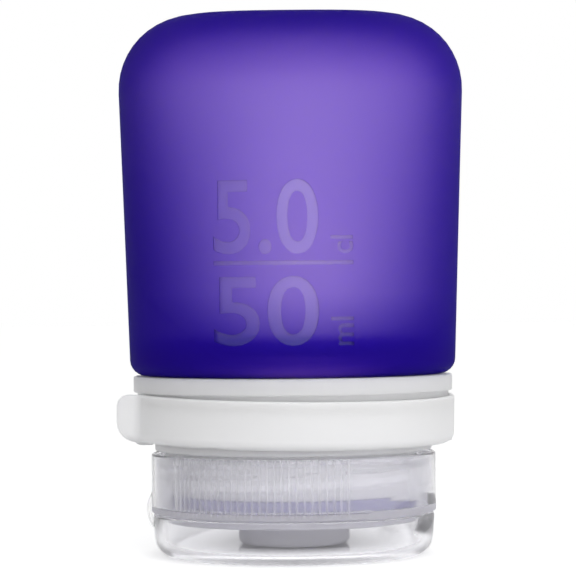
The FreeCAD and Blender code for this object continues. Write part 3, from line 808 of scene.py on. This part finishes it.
def body_skin(bottom, top, inset, base_rounding, shoulder_rounding):
    """Outline points of one skin of the body, from the base's flat round its edge to the shoulder's flat."""
    levels = [
        (top - base_rounding * (1 - cosine), inset + base_rounding * (1 - sine))
        for sine, cosine in quarter(2 * ROUNDING_STEPS)
    ]
    side_top = top - base_rounding
    side_bottom = bottom + shoulder_rounding
    side = rows(0, side_top, side_bottom, bpy.context.scene.bottle_body.row)
    levels += [(z, inset) for _, z, _ in side[1:-1]]
    levels += [
        (bottom + shoulder_rounding * (1 - sine), inset + shoulder_rounding * (1 - cosine))
        for sine, cosine in quarter(ROUNDING_STEPS)
    ]
    return [Vector((body_reach(body_share(z)) - taken_in, z)) for z, taken_in in levels]


def body_outline():
    """Outline of the soft body through its wall, as it is at the sides."""
    sizes = bpy.context.scene.bottle_body
    bottom = body_bottom()
    floor = bottom + sizes.shoulder_thickness
    roof = BOTTLE_HIGH.z - sizes.base_thickness
    neck = sizes.mouth_radius + sizes.neck_wall
    lip_top = BOTTLE_LOW.z + sizes.lip_height
    outside = body_skin(bottom, BOTTLE_HIGH.z, 0, sizes.base_rounding, sizes.shoulder_rounding)
    inside = body_skin(floor, roof, sizes.wall, sizes.base_rounding - sizes.wall, sizes.cavity_rounding)
    mouth = rounded([
        (outside[-1].x, bottom, 0),
        (neck, bottom, sizes.edge),
        (neck, lip_top, 0),
        (sizes.lip_radius, lip_top, sizes.edge),
        (sizes.lip_radius, BOTTLE_LOW.z, sizes.edge),
        (sizes.mouth_radius, BOTTLE_LOW.z, sizes.edge),
        (sizes.mouth_radius, floor, sizes.edge),
        (inside[-1].x, floor, 0),
    ])
    axis_top = [Vector((0, BOTTLE_HIGH.z))]
    axis_roof = [Vector((0, roof))]
    return axis_top + outside + mouth[1:-1] + list(reversed(inside)) + axis_roof


def square_up(piece):
    """Moves a body that was spun round to its squarer outline."""
    for vertex in piece.data.vertices:
        radius = vertex.co.xy.length
        if radius > WELD:
            share = body_share(vertex.co.z)
            angle = math.atan2(vertex.co.y, vertex.co.x)
            vertex.co.xy *= squared(angle, share, body_reach(share) - radius) / radius


def front_of_body(x, z, depth):
    """Point of the body's front face at a place across and a level, pressed in by a depth."""
    share = body_share(z)
    radius = body_reach(share)
    for _ in range(ROUNDING_STEPS):
        angle = -math.acos(x / radius)
        radius = squared(angle, share, depth)
    return Vector((x, radius * math.sin(angle), z))


def flat_text(words, left_x, bottom_z, width, height=0):
    """Flat letters facing the front, as a mesh: upright with a height, or else standing on end."""
    deselect()
    bpy.ops.object.text_add()
    bpy.context.object.data.body = words
    bpy.context.object.data.offset = bpy.context.scene.bottle_mark.boldness
    bpy.context.object.data.resolution_u = ROUNDING_STEPS
    bpy.ops.object.convert(target="MESH")
    letters = bpy.context.object
    places = [vertex.co.copy() for vertex in letters.data.vertices]
    if height == 0:
        places = [Vector((-place.y, place.x)) for place in places]
    low_x = min(place.x for place in places)
    low_y = min(place.y for place in places)
    scale_x = width / (max(place.x for place in places) - low_x)
    scale_y = height / (max(place.y for place in places) - low_y) if height else scale_x
    for vertex, place in zip(letters.data.vertices, places):
        vertex.co = (left_x + (place.x - low_x) * scale_x, 0, bottom_z + (place.y - low_y) * scale_y)
    return letters


def flat_rule(left_x, bottom_z, width, height):
    """Flat bar, upright and facing the front, as a mesh."""
    deselect()
    bpy.ops.mesh.primitive_plane_add(size=1, rotation=(math.pi / 2, 0, 0))
    bar = bpy.context.object
    bar.scale = (width, height, 1)
    bar.location = (left_x + width / 2, 0, bottom_z + height / 2)
    bpy.ops.object.transform_apply(location=True, rotation=True, scale=True)
    return bar


def slice_across(piece, spacing):
    """Cuts a flat mesh into upright strips, so that it can follow a curve."""
    across = [vertex.co.x for vertex in piece.data.vertices]
    count = math.ceil((max(across) - min(across)) / spacing)
    for step in range(1, count):
        cut_x = min(across) + (max(across) - min(across)) * step / count
        edit(piece)
        bpy.ops.mesh.bisect(plane_co=(cut_x, 0, 0), plane_no=(1, 0, 0))
    deselect()


def pressed_mark(finish):
    """Cutters for the capacity mark: numbers over and under a rule with their units, bent to the front."""
    mark = bpy.context.scene.bottle_mark
    left = -mark.left
    unit_left = left + mark.width + mark.unit_gap
    over = mark.rule_z + mark.rule_height + mark.upper_gap
    under = mark.rule_z - mark.lower_gap - mark.lower_height
    flats = [
        flat_text(mark.upper, left, over, mark.width, mark.upper_height),
        flat_text(mark.lower, left, under, mark.width, mark.lower_height),
        flat_text(mark.upper_unit, unit_left, over, mark.unit_width),
        flat_text(mark.lower_unit, unit_left, under, mark.unit_width),
        flat_rule(left, mark.rule_z, unit_left + mark.unit_width - left, mark.rule_height),
    ]
    for flat in flats:
        weld(flat)
        slice_across(flat, mark.grid)
        for vertex in flat.data.vertices:
            vertex.co = front_of_body(vertex.co.x, vertex.co.z, mark.depth)
        edit(flat)
        bpy.ops.mesh.extrude_region_move(TRANSFORM_OT_translate={"value": (0, -OVERRUN, 0)})
        weld(flat)
        dress(flat, finish)
    return flats


def thread_share(z, azimuth, low, high, turns_on):
    """How far a thread's ridge stands at a place, from 0 at its root to 1 at its crest."""
    sizes = bpy.context.scene.bottle_collar
    middle = sizes.thread_z + sizes.thread_lead * (azimuth / 360 + turns_on)
    away = abs((z - middle + sizes.thread_lead / 2) % sizes.thread_lead - sizes.thread_lead / 2)
    flank = (sizes.thread_base - sizes.thread_crest) / 2
    ridge = min(1, max(0, (sizes.thread_base / 2 - away) / flank))
    run_out = min(1, max(0, min(z - low, high - z) / flank))
    return ridge * run_out


class BOTTLE_OT_soft_body(bpy.types.Operator):
    """Models the soft body with its pressed-in mark"""
    bl_idname = "bottle.soft_body"
    bl_label = "Soft body"

    def execute(self, context):
        finish = silicone_finish("purple_silicone")
        polished = bpy.data.materials.new("polished")
        body = lathe("soft_body", body_outline())
        square_up(body)
        dress(body, finish)
        combine(body, "DIFFERENCE", *pressed_mark(polished))
        polish = body.data.attributes.new("polish", "FLOAT", "FACE")
        for face, value in zip(body.data.polygons, polish.data):
            value.value = face.material_index
        dress(body, finish)
        bpy.data.materials.remove(polished)
        smooth(body)
        settle(body, "bottle", "silicone_bottle")
        return {"FINISHED"}


def strap_outline(bore, lip_bore, lip_z):
    """Section of the strap, and of the rear band that carries it on, with a lip above a level."""
    sizes = bpy.context.scene.bottle_strap
    outer = sizes.bore + sizes.thickness
    return rounded([
        (bore, PIN_LOW.z, sizes.inner_edge),
        (outer, PIN_LOW.z, sizes.bottom_edge),
        (outer, PIN_HIGH.z, sizes.top_edge),
        (lip_bore, PIN_HIGH.z, 0),
        (lip_bore, lip_z, 0),
        (bore, lip_z, sizes.inner_edge),
    ])


def pin_hole():
    """Cutter for the hole that the strap's pin goes through."""
    sizes = bpy.context.scene.bottle_collar
    radius = (PIN_HIGH.x - PIN_LOW.x) / 2 + sizes.hole_clearance
    return post(radius, PIN_LOW.z - OVERRUN, PIN_HIGH.z + sizes.edge, STRAP_PIN)


class BOTTLE_OT_collar(bpy.types.Operator):
    """Models the frosted collar with its thread and the strap's hinge ears"""
    bl_idname = "bottle.collar"
    bl_label = "Collar"

    def execute(self, context):
        sizes = context.scene.bottle_collar
        core = sizes.root_radius + sizes.core_width
        ring_z = COLLAR_HIGH.z - sizes.ring_height
        thread_low = COLLAR_LOW.z + 2 * sizes.edge
        collar = lathe("frosted_collar", rounded([
            (sizes.bore, COLLAR_LOW.z, sizes.edge),
            (sizes.root_radius, COLLAR_LOW.z, sizes.edge),
            *rows(sizes.root_radius, thread_low, sizes.bead_z, sizes.row),
            (sizes.bead_radius, sizes.bead_z, sizes.edge),
            (sizes.bead_radius, PIN_LOW.z, 0),
            (sizes.barrel_radius, PIN_LOW.z + sizes.bead_setback, 0),
            (sizes.barrel_radius, ring_z - sizes.step_height, 0),
            (sizes.step_radius, ring_z - sizes.step_height, 0),
            (sizes.step_radius, ring_z, 0),
            (sizes.ring_radius, ring_z, sizes.edge / 2),
            (sizes.ring_radius, COLLAR_HIGH.z, sizes.edge),
            (core, COLLAR_HIGH.z, 0),
            (core, sizes.bead_z + sizes.core_floor, 0),
            (sizes.root_radius, sizes.bead_z + sizes.core_floor, 0),
            (sizes.root_radius, COLLAR_HIGH.z, 0),
            (sizes.bore, COLLAR_HIGH.z, sizes.mouth_edge),
        ]))
        for vertex in collar.data.vertices:
            radius = vertex.co.xy.length
            if abs(radius - sizes.root_radius) < WELD and thread_low < vertex.co.z < sizes.bead_z:
                share = thread_share(vertex.co.z, azimuth_of(vertex.co), thread_low, sizes.bead_z, 0)
                vertex.co.xy *= 1 + sizes.thread_height * share / radius
        self.add_hinge(collar, sizes)
        dress(collar, frosted_finish("frosted_plastic", context.scene.bottle_finishes.frosted_glow))
        smooth(collar)
        settle(collar, "bottle", "threaded_collar")
        return {"FINISHED"}

    def add_hinge(self, collar, sizes):
        """Adds the rear band and the two ears that the strap's pin goes through."""
        sweep = sizes.rear_end_azimuth - STRAP_HINGE_AZIMUTH
        bore = sizes.barrel_radius - sizes.rear_overlap
        outline = strap_outline(bore, bore + sizes.rear_overlap, PIN_HIGH.z - sizes.rear_overlap)
        rear = band("rear_band", outline, STRAP_HINGE_AZIMUTH, sweep, TURN_STEPS // 2)
        middle = (PIN_LOW.z + PIN_HIGH.z) / 2
        low = middle - sizes.knuckle_height / 2 - sizes.knuckle_gap
        high = middle + sizes.knuckle_height / 2 + sizes.knuckle_gap
        lower_ear = post(sizes.ear_radius, PIN_LOW.z, low, STRAP_PIN)
        upper_ear = post(sizes.ear_radius, high, PIN_HIGH.z, STRAP_PIN)
        combine(collar, "UNION", rear, lower_ear, upper_ear)
        relief = post(sizes.ear_radius + sizes.relief, low, high, STRAP_PIN)
        barrel = post(sizes.barrel_radius, low - OVERRUN, high + OVERRUN, Vector((0, 0, 0)))
        combine(relief, "DIFFERENCE", barrel)
        combine(collar, "DIFFERENCE", relief, pin_hole())
        weld(collar)


class BOTTLE_OT_strap(bpy.types.Operator):
    """Models the lock strap: its band, bend, finger tab, notch and knuckle"""
    bl_idname = "bottle.strap"
    bl_label = "Lock strap"

    def execute(self, context):
        sizes = context.scene.bottle_strap
        middle_radius = sizes.bore + sizes.thickness / 2
        centre = at(sizes.tab_azimuth, middle_radius + sizes.tab_bend, 0)
        section = strap_outline(sizes.bore, sizes.lip_bore, PIN_HIGH.z - sizes.lip_height)
        strap = ring("white_strap", [at(STRAP_HINGE_AZIMUTH, point.x, point.y) for point in section])
        edit(strap)
        bpy.ops.mesh.edge_face_add()
        sweep = math.radians(STRAP_HINGE_AZIMUTH - sizes.tab_azimuth)
        bpy.ops.mesh.spin(steps=TURN_STEPS // 2, angle=sweep, center=(0, 0, 0), axis=(0, 0, 1))
        bend = math.radians(sizes.tab_azimuth)
        bpy.ops.mesh.spin(steps=3 * ROUNDING_STEPS, angle=bend, center=centre, axis=(0, 0, 1))
        along = outward(-90) * sizes.tab_length
        bpy.ops.mesh.extrude_region_move(TRANSFORM_OT_translate={"value": along})
        weld(strap)
        tip = centre - outward(0) * sizes.tab_bend + along
        combine(strap, "DIFFERENCE", self.tab_end(sizes, tip))
        self.lean(strap, sizes, at(0, sizes.bore + sizes.thickness, PIN_HIGH.z))
        combine(strap, "DIFFERENCE", self.notch(sizes))
        self.add_knuckle(strap, context.scene.bottle_collar)
        dress(strap, white_finish("white_plastic", 1))
        smooth(strap)
        settle(strap, "strap", "lock_strap")
        return {"FINISHED"}

    def lean(self, strap, sizes, front):
        """Sets the strap a little askew about its front, so that its free end rides up under the ring."""
        pitch = Matrix.Rotation(math.radians(sizes.pitch), 4, "X")
        roll = Matrix.Rotation(math.radians(sizes.roll), 4, "Y")
        choose(strap)
        strap.matrix_world = Matrix.Translation(front) @ roll @ pitch @ Matrix.Translation(-front)
        bpy.ops.object.transform_apply(location=True, rotation=True, scale=True)

    def tab_end(self, sizes, tip):
        """Cutter that rounds the end of the finger tab as it is seen from the front."""
        near = tip.y - sizes.thickness
        far = tip.y + sizes.thickness
        root_x = tip.x + sizes.tab_bottom_corner
        block = prism(rounded([
            (tip.x - OVERRUN, PIN_LOW.z - OVERRUN, 0),
            (root_x, PIN_LOW.z - OVERRUN, 0),
            (root_x, PIN_HIGH.z + OVERRUN, 0),
            (tip.x - OVERRUN, PIN_HIGH.z + OVERRUN, 0),
        ]), near, far)
        kept = prism(rounded([
            (tip.x, PIN_LOW.z, sizes.tab_bottom_corner),
            (root_x + OVERRUN, PIN_LOW.z, 0),
            (root_x + OVERRUN, PIN_HIGH.z, 0),
            (tip.x, PIN_HIGH.z, sizes.tab_top_corner),
        ]), near - OVERRUN, far + OVERRUN)
        combine(block, "DIFFERENCE", kept)
        return block

    def notch(self, sizes):
        """Cutter for the shallow notch in the strap's lower edge."""
        half = sizes.notch_width / 2
        radius = (half ** 2 + sizes.notch_depth ** 2) / (2 * sizes.notch_depth)
        depth = 2 * sizes.thickness
        level = PIN_LOW.z + sizes.notch_depth - radius
        middle = at(sizes.notch_azimuth, sizes.bore + sizes.thickness / 2, level)
        deselect()
        bpy.ops.mesh.primitive_cylinder_add(
            vertices=TURN_STEPS,
            radius=radius,
            depth=depth,
            location=middle,
            rotation=(math.pi / 2, 0, math.radians(sizes.notch_azimuth)),
        )
        bpy.ops.object.transform_apply(location=True, rotation=True, scale=True)
        return bpy.context.object

    def add_knuckle(self, strap, hinge):
        """Makes room for the collar's ears and adds the knuckle between them."""
        middle = (PIN_LOW.z + PIN_HIGH.z) / 2
        low = middle - hinge.knuckle_height / 2
        high = middle + hinge.knuckle_height / 2
        lower_gap = post(hinge.ear_radius + hinge.relief, PIN_LOW.z - OVERRUN, low, STRAP_PIN)
        upper_gap = post(hinge.ear_radius + hinge.relief, high, PIN_HIGH.z + OVERRUN, STRAP_PIN)
        combine(strap, "DIFFERENCE", lower_gap, upper_gap)
        combine(strap, "UNION", post(hinge.ear_radius, low, high, STRAP_PIN))
        combine(strap, "DIFFERENCE", pin_hole())
        weld(strap)


def thumb_scoop():
    """Ring-shaped cutter, off centre towards the hinge, that hollows the thumb side of cap and lid."""
    sizes = bpy.context.scene.bottle_cap
    skirt = LID_HINGE.xy.length
    inner = skirt - sizes.scoop_depth
    spread = inner - skirt * math.cos(math.radians(sizes.scoop_half_angle))
    offset = (skirt ** 2 - inner ** 2) / (2 * spread)
    tube = (sizes.scoop_height ** 2 + sizes.scoop_depth ** 2) / (2 * sizes.scoop_depth)
    deselect()
    bpy.ops.mesh.primitive_torus_add(
        location=at(LID_HINGE_AZIMUTH, offset, LID_HINGE.z),
        major_radius=inner + offset + tube,
        minor_radius=tube,
        major_segments=2 * TURN_STEPS,
        minor_segments=TURN_STEPS,
    )
    bpy.ops.object.transform_apply(location=True, rotation=True, scale=True)
    return bpy.context.object


class BOTTLE_OT_cap(bpy.types.Operator):
    """Models the clear screw cap with its ribs, thread, plinth, spout and thumb scoop"""
    bl_idname = "bottle.cap"
    bl_label = "Screw cap"

    def execute(self, context):
        sizes = context.scene.bottle_cap
        finishes = context.scene.bottle_finishes
        skirt = LID_HINGE.xy.length
        bore = skirt - sizes.clear_wall
        land_radius = skirt - sizes.wall - sizes.land_width
        bottom = 2 * LID_HINGE.z - context.scene.bottle_lid.height
        land = bottom + sizes.deck
        plinth = bottom - sizes.plinth_height
        web = plinth + sizes.web
        spout = sizes.spout_bore + sizes.spout_wall
        seat = CAP_LOW.z + sizes.spout_lip
        inset = 2 * sizes.edge
        cap = lathe("clear_cap", rounded([
            (sizes.orifice, CAP_LOW.z, sizes.spout_edge / 2),
            (spout, CAP_LOW.z, sizes.spout_edge),
            (spout, plinth, 0),
            (sizes.plinth_radius, plinth, sizes.edge),
            (sizes.plinth_radius, bottom, 0),
            (skirt, bottom, sizes.edge),
            *rows(skirt, bottom + inset, CAP_HIGH.z - inset, sizes.row),
            (skirt, CAP_HIGH.z, sizes.edge),
            (bore, CAP_HIGH.z, sizes.edge / 2),
            (bore, land, 0),
            (land_radius, land, 0),
            (land_radius, web, 0),
            (sizes.spout_bore, web, 0),
            (sizes.spout_bore, seat, 0),
            (sizes.orifice, seat, 0),
        ]), RIB_STEPS)
        self.raise_ribs(cap, sizes, skirt, bottom)
        combine(cap, "DIFFERENCE", thumb_scoop())
        weld(cap)
        outside = skirt - sizes.clear_wall / 2
        cloud_over(cap, lambda place: self.cloud_at(finishes, place, plinth, land, outside))
        lining = self.lining(sizes, bore - sizes.lining_gap, skirt - sizes.wall, land + sizes.lining_gap)
        cloud_over(lining, lambda place: finishes.lining_cloud)
        finish = clear_finish("clear_plastic", finishes.cap_bend)
        dress(cap, finish)
        dress(lining, finish)
        choose(cap)
        lining.select_set(True)
        bpy.ops.object.join()
        smooth(cap)
        settle(cap, "cap", "screw_cap")
        return {"FINISHED"}

    def cloud_at(self, finishes, place, plinth, land, outside):
        """Share of milk in the cap at a place: most in the spout, some in the deck and the ribs."""
        if place.z < plinth:
            return finishes.spout_cloud
        if place.z < land:
            return finishes.deck_cloud
        if place.xy.length < outside:
            return finishes.clear_cloud
        return finishes.clear_cloud + finishes.rib_cloud * self.rib_share(place)

    def rib_share(self, place):
        """How far a grip rib stands at a place, from 0 between the ribs to 1 on a crest."""
        sizes = bpy.context.scene.bottle_cap
        half_patch = sizes.rib_pitch * sizes.rib_count / 2
        off_thumb = abs((azimuth_of(place) - THUMB_AZIMUTH + 180) % 360 - 180)
        off_patch = off_thumb - sizes.rib_patch
        if abs(off_patch) > half_patch:
            return 0
        return (1 + math.cos(FULL_TURN * off_patch / sizes.rib_pitch)) / 2

    def raise_ribs(self, cap, sizes, skirt, bottom):
        """Raises the grip ribs on the skirt's outside."""
        for vertex in cap.data.vertices:
            radius = vertex.co.xy.length
            margin = min(vertex.co.z - bottom, CAP_HIGH.z - vertex.co.z)
            if abs(radius - skirt) < WELD and margin > sizes.rib_margin:
                vertex.co.xy *= 1 + sizes.rib_stand * self.rib_share(vertex.co) / radius

    def lining(self, sizes, outer, bore, bottom):
        """The skirt's milky lining, which carries the inner thread."""
        top = CAP_HIGH.z - sizes.edge
        thread_low = bottom + 2 * sizes.wall
        lining = lathe("lining", rounded([
            (bore, bottom, 0),
            (outer, bottom, 0),
            (outer, top, sizes.edge / 2),
            (bore, top, sizes.edge / 2),
            *rows(bore, top - sizes.edge, bottom + sizes.edge, sizes.row),
        ]))
        for vertex in lining.data.vertices:
            radius = vertex.co.xy.length
            if abs(radius - bore) < WELD and bottom < vertex.co.z < top:
                share = thread_share(vertex.co.z, azimuth_of(vertex.co), thread_low, top, sizes.thread_turns)
                vertex.co.xy *= 1 - sizes.thread_height * share / radius
        combine(lining, "DIFFERENCE", thumb_scoop())
        weld(lining)
        return lining


class BOTTLE_OT_lid(bpy.types.Operator):
    """Models the clear flip lid with its plug and thumb scoop"""
    bl_idname = "bottle.lid"
    bl_label = "Flip lid"

    def execute(self, context):
        sizes = context.scene.bottle_lid
        radius = LID_HINGE.xy.length - sizes.setback
        foot = radius - sizes.draft
        lid = lathe("clear_lid", rounded([
            (0, 0, 0),
            (foot, 0, sizes.corner),
            (radius, sizes.height, sizes.edge),
            (radius - sizes.wall, sizes.height, sizes.edge),
            (foot - sizes.wall, sizes.floor, sizes.inner_corner),
            (sizes.plug_radius, sizes.floor, 0),
            (sizes.plug_radius, sizes.plug_reach, sizes.plug_edge),
            (0, sizes.plug_reach, 0),
        ]))
        combine(lid, "DIFFERENCE", thumb_scoop())
        weld(lid)
        finishes = context.scene.bottle_finishes
        cloud_over(lid, lambda place: finishes.lid_cloud)
        dress(lid, clear_finish("clear_lid_plastic", finishes.lid_bend))
        smooth(lid)
        settle(lid, "lid", "flip_lid")
        return {"FINISHED"}


class BOTTLE_OT_hinge(bpy.types.Operator):
    """Models the film hinge and its two bows, which span from cap to lid"""
    bl_idname = "bottle.hinge"
    bl_label = "Film hinge"

    def execute(self, context):
        sizes = context.scene.bottle_lid
        finishes = context.scene.bottle_finishes
        finish = plastic_finish(
            "clear_hinge",
            finishes.clear,
            finishes.hinge_smooth,
            finishes.hinge_rough,
            transmission=finishes.hinge_clear,
        )
        outer = LID_HINGE.xy.length - sizes.setback
        inner = outer - sizes.film_thickness
        corners = rows(outer, FILM_LOW.z, FILM_HIGH.z, sizes.film_row)
        corners += rows(inner, FILM_HIGH.z, FILM_LOW.z, sizes.film_row)
        start = LID_HINGE_AZIMUTH - sizes.film_half_angle
        film = band("film_hinge", rounded(corners), start, 2 * sizes.film_half_angle, 2 * ROUNDING_STEPS)
        self.hang(film, finish, FILM_HIGH.z, FILM_LOW.z, "hinge_film")
        bows = []
        for side in (-1, 1):
            start = LID_HINGE_AZIMUTH + side * sizes.bow_azimuth - sizes.bow_half_angle
            bows.append(band("bow", self.bow_outline(sizes), start, 2 * sizes.bow_half_angle, ROUNDING_STEPS))
        choose(bows[0])
        bows[1].select_set(True)
        bpy.ops.object.join()
        bows[0].name = "film_hinge_bows"
        self.hang(bows[0], finish, BOWS_HIGH.z, BOWS_LOW.z, "hinge_bows")
        return {"FINISHED"}

    def bow_outline(self, sizes):
        """Section of a bow: two arcs from the skirt to the lid, joined by its feet."""
        skirt = LID_HINGE.xy.length + sizes.seat
        lid = LID_HINGE.xy.length - sizes.setback + sizes.seat
        top = Vector((skirt, BOWS_HIGH.z))
        bottom = Vector((lid, BOWS_LOW.z))
        foot = Vector((0, sizes.bow_foot))
        crown = Vector((LID_HINGE.xy.length + sizes.bow_stand, LID_HINGE.z))
        under = crown - Vector((sizes.bow_thickness, 0))
        steps = 4 * ROUNDING_STEPS
        outside = around(centre_through(top, crown, bottom), top, bottom, steps)
        inside = around(centre_through(bottom + foot, under, top - foot), bottom + foot, top - foot, steps)
        return outside + inside

    def hang(self, piece, finish, top, bottom, node):
        """Finishes a piece of the hinge, hides its node and bakes its place into its mesh."""
        dress(piece, finish)
        smooth(piece)
        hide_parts(node)
        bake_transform(piece)


def centre_through(first, middle, last):
    """Centre of the circle through three points."""
    a = middle - first
    b = last - first
    cross = 2 * (a.x * b.y - a.y * b.x)
    x = b.y * a.length_squared - a.y * b.length_squared
    y = a.x * b.length_squared - b.x * a.length_squared
    return first + Vector((x, y)) / cross


class BOTTLE_OT_fittings(bpy.types.Operator):
    """Finishes the valve, its ring and the strap's pin"""
    bl_idname = "bottle.fittings"
    bl_label = "Valve and pin"

    def execute(self, context):
        finishes = context.scene.bottle_finishes
        nodes = frame["nodes"]
        valve = plastic_finish(
            "clear_silicone",
            finishes.valve,
            finishes.valve_smooth,
            finishes.valve_rough,
            transmission=finishes.valve_clear,
        )
        dress(nodes["slit_valve"], valve)
        dress(nodes["valve_retainer"], frosted_finish("frosted_ring", finishes.white_glow))
        dress(nodes["strap_hinge_pin"], white_finish("white_pin", finishes.pin_glow))
        return {"FINISHED"}


def ways_of_seeing(nodes, links):
    """Sockets that are 1 for what is seen straight, and for what is mirrored or seen through a piece."""
    path = nodes.new("ShaderNodeLightPath")
    glossy = path.outputs["Is Glossy Ray"]
    through = combined(nodes, links, "MAXIMUM", glossy, path.outputs["Is Transmission Ray"])
    return path.outputs["Is Camera Ray"], through


class BOTTLE_OT_stage(bpy.types.Operator):
    """Sets the camera, floor, lamps and room light"""
    bl_idname = "bottle.stage"
    bl_label = "Stage"

    def execute(self, context):
        stage = context.scene.bottle_stage
        context.scene.view_settings.view_transform = "Standard"
        self.add_camera(context, stage)
        self.add_floor(context, stage)
        self.add_lamp(stage, "key_lamp", stage.key_place, stage.key_light)
        self.add_lamp(stage, "fill_lamp", stage.fill_place, stage.fill_light)
        self.add_room(context, stage)
        return {"FINISHED"}

    def add_camera(self, context, stage):
        """Camera in front of the bottle."""
        deselect()
        bpy.ops.object.camera_add(location=(0, -stage.camera_distance, stage.camera_height))
        camera = context.object
        camera.data.lens = stage.camera_lens
        camera.data.clip_start = stage.camera_distance * stage.near_share
        level = Matrix.Rotation(math.pi / 2 + math.radians(stage.camera_pitch), 3, "X")
        yaw = Matrix.Rotation(math.radians(stage.camera_yaw), 3, "Z")
        roll = Matrix.Rotation(math.radians(-stage.camera_roll), 3, "Z")
        camera.rotation_euler = (yaw @ level @ roll).to_euler()
        context.scene.camera = camera

    def add_floor(self, context, stage):
        """Pale floor that keeps the bottle's shadow, with a painted shadow under the bottle where its glow
        fades towards the axis.
        """
        deselect()
        bpy.ops.mesh.primitive_plane_add(size=stage.floor_size)
        floor = context.object
        floor.name = "floor"
        material, shader, nodes, links = new_finish("pale_floor")
        shader.inputs["Base Color"].default_value = (*context.scene.bottle_finishes.floor, 1)
        shader.inputs["Roughness"].default_value = context.scene.bottle_finishes.floor_rough
        shader.inputs["Emission Color"].default_value = (1, 1, 1, 1)
        place = nodes.new("ShaderNodeTexCoord").outputs["Object"]
        away = turned(nodes, links, "LENGTH", place).outputs["Value"]
        # Painted shadow: the glow is 0 near the axis and grows to full further out.
        glow = ranged(nodes, links, away, 0, stage.floor_glow, stage.painted_shadow_fade_start, stage.painted_shadow_end)
        seen = combined(nodes, links, "MAXIMUM", *ways_of_seeing(nodes, links))
        strength = combined(nodes, links, "MULTIPLY", seen, glow)
        links.new(strength, shader.inputs["Emission Strength"])
        dress(floor, material)

    def add_lamp(self, stage, name, place, power):
        """Soft square lamp aimed at the bottle, at a place in camera distances."""
        place = Vector(place) * stage.camera_distance
        deselect()
        bpy.ops.object.light_add(type="AREA", location=place)
        lamp = bpy.context.object
        lamp.name = name
        lamp.data.shape = "SQUARE"
        lamp.data.size = stage.camera_distance
        lamp.data.energy = power
        aim = Vector((0, 0, stage.camera_height)) - place
        lamp.rotation_euler = aim.to_track_quat("-Z", "Y").to_euler()

    def add_room(self, context, stage):
        """White room: full white where it is seen, softer as a light and away from the backdrop."""
        world = bpy.data.worlds.new("white_room")
        context.scene.world = world
        world.use_nodes = True
        nodes = world.node_tree.nodes
        links = world.node_tree.links
        straight, through = ways_of_seeing(nodes, links)
        place = nodes.new("ShaderNodeTexCoord").outputs["Generated"]
        middle = Vector((stage.backdrop_side, 1, stage.backdrop_rise)).normalized()
        towards = turned(nodes, links, "DOT_PRODUCT", place, middle)
        backdrop = nodes.new("ShaderNodeMapRange")
        backdrop.interpolation_type = "SMOOTHSTEP"
        backdrop.inputs["From Min"].default_value = math.cos(math.radians(stage.backdrop_edge))
        backdrop.inputs["From Max"].default_value = math.cos(math.radians(stage.backdrop_middle))
        links.new(towards.outputs["Value"], backdrop.inputs["Value"])
        behind = combined(nodes, links, "MULTIPLY", backdrop.outputs["Result"], through)
        seen = combined(nodes, links, "MAXIMUM", straight, behind)
        background = nodes["Background"]
        background.inputs["Color"].default_value = (1, 1, 1, 1)
        links.new(ranged(nodes, links, seen, stage.room_light, 1), background.inputs["Strength"])


OPERATORS = (
    BOTTLE_OT_soft_body,
    BOTTLE_OT_collar,
    BOTTLE_OT_strap,
    BOTTLE_OT_cap,
    BOTTLE_OT_lid,
    BOTTLE_OT_hinge,
    BOTTLE_OT_fittings,
    BOTTLE_OT_stage,
)


class BOTTLE_PT_panel(bpy.types.Panel):
    """Lists the bottle's pieces"""
    bl_idname = "BOTTLE_PT_panel"
    bl_label = "Travel squeeze bottle"
    bl_space_type = "VIEW_3D"
    bl_region_type = "UI"
    bl_category = "Bottle"

    def draw(self, context):
        for operator in OPERATORS:
            self.layout.operator(operator.bl_idname)


def register():
    """Registers the classes and hangs the settings on the scene."""
    for group in (*GROUPS.values(), *OPERATORS, BOTTLE_PT_panel):
        bpy.utils.register_class(group)
    for name, group in GROUPS.items():
        setattr(bpy.types.Scene, name, PointerProperty(type=group))


def unregister():
    """Takes the settings and classes away again."""
    for name in GROUPS:
        delattr(bpy.types.Scene, name)
    for group in (BOTTLE_PT_panel, *OPERATORS, *GROUPS.values()):
        bpy.utils.unregister_class(group)


def main():
    """Builds every piece in order."""
    register()
    bpy.ops.bottle.soft_body()
    bpy.ops.bottle.collar()
    bpy.ops.bottle.strap()
    bpy.ops.bottle.cap()
    bpy.ops.bottle.lid()
    bpy.ops.bottle.hinge()
    bpy.ops.bottle.fittings()
    bpy.ops.bottle.stage()


if __name__ == "__main__":
    main()
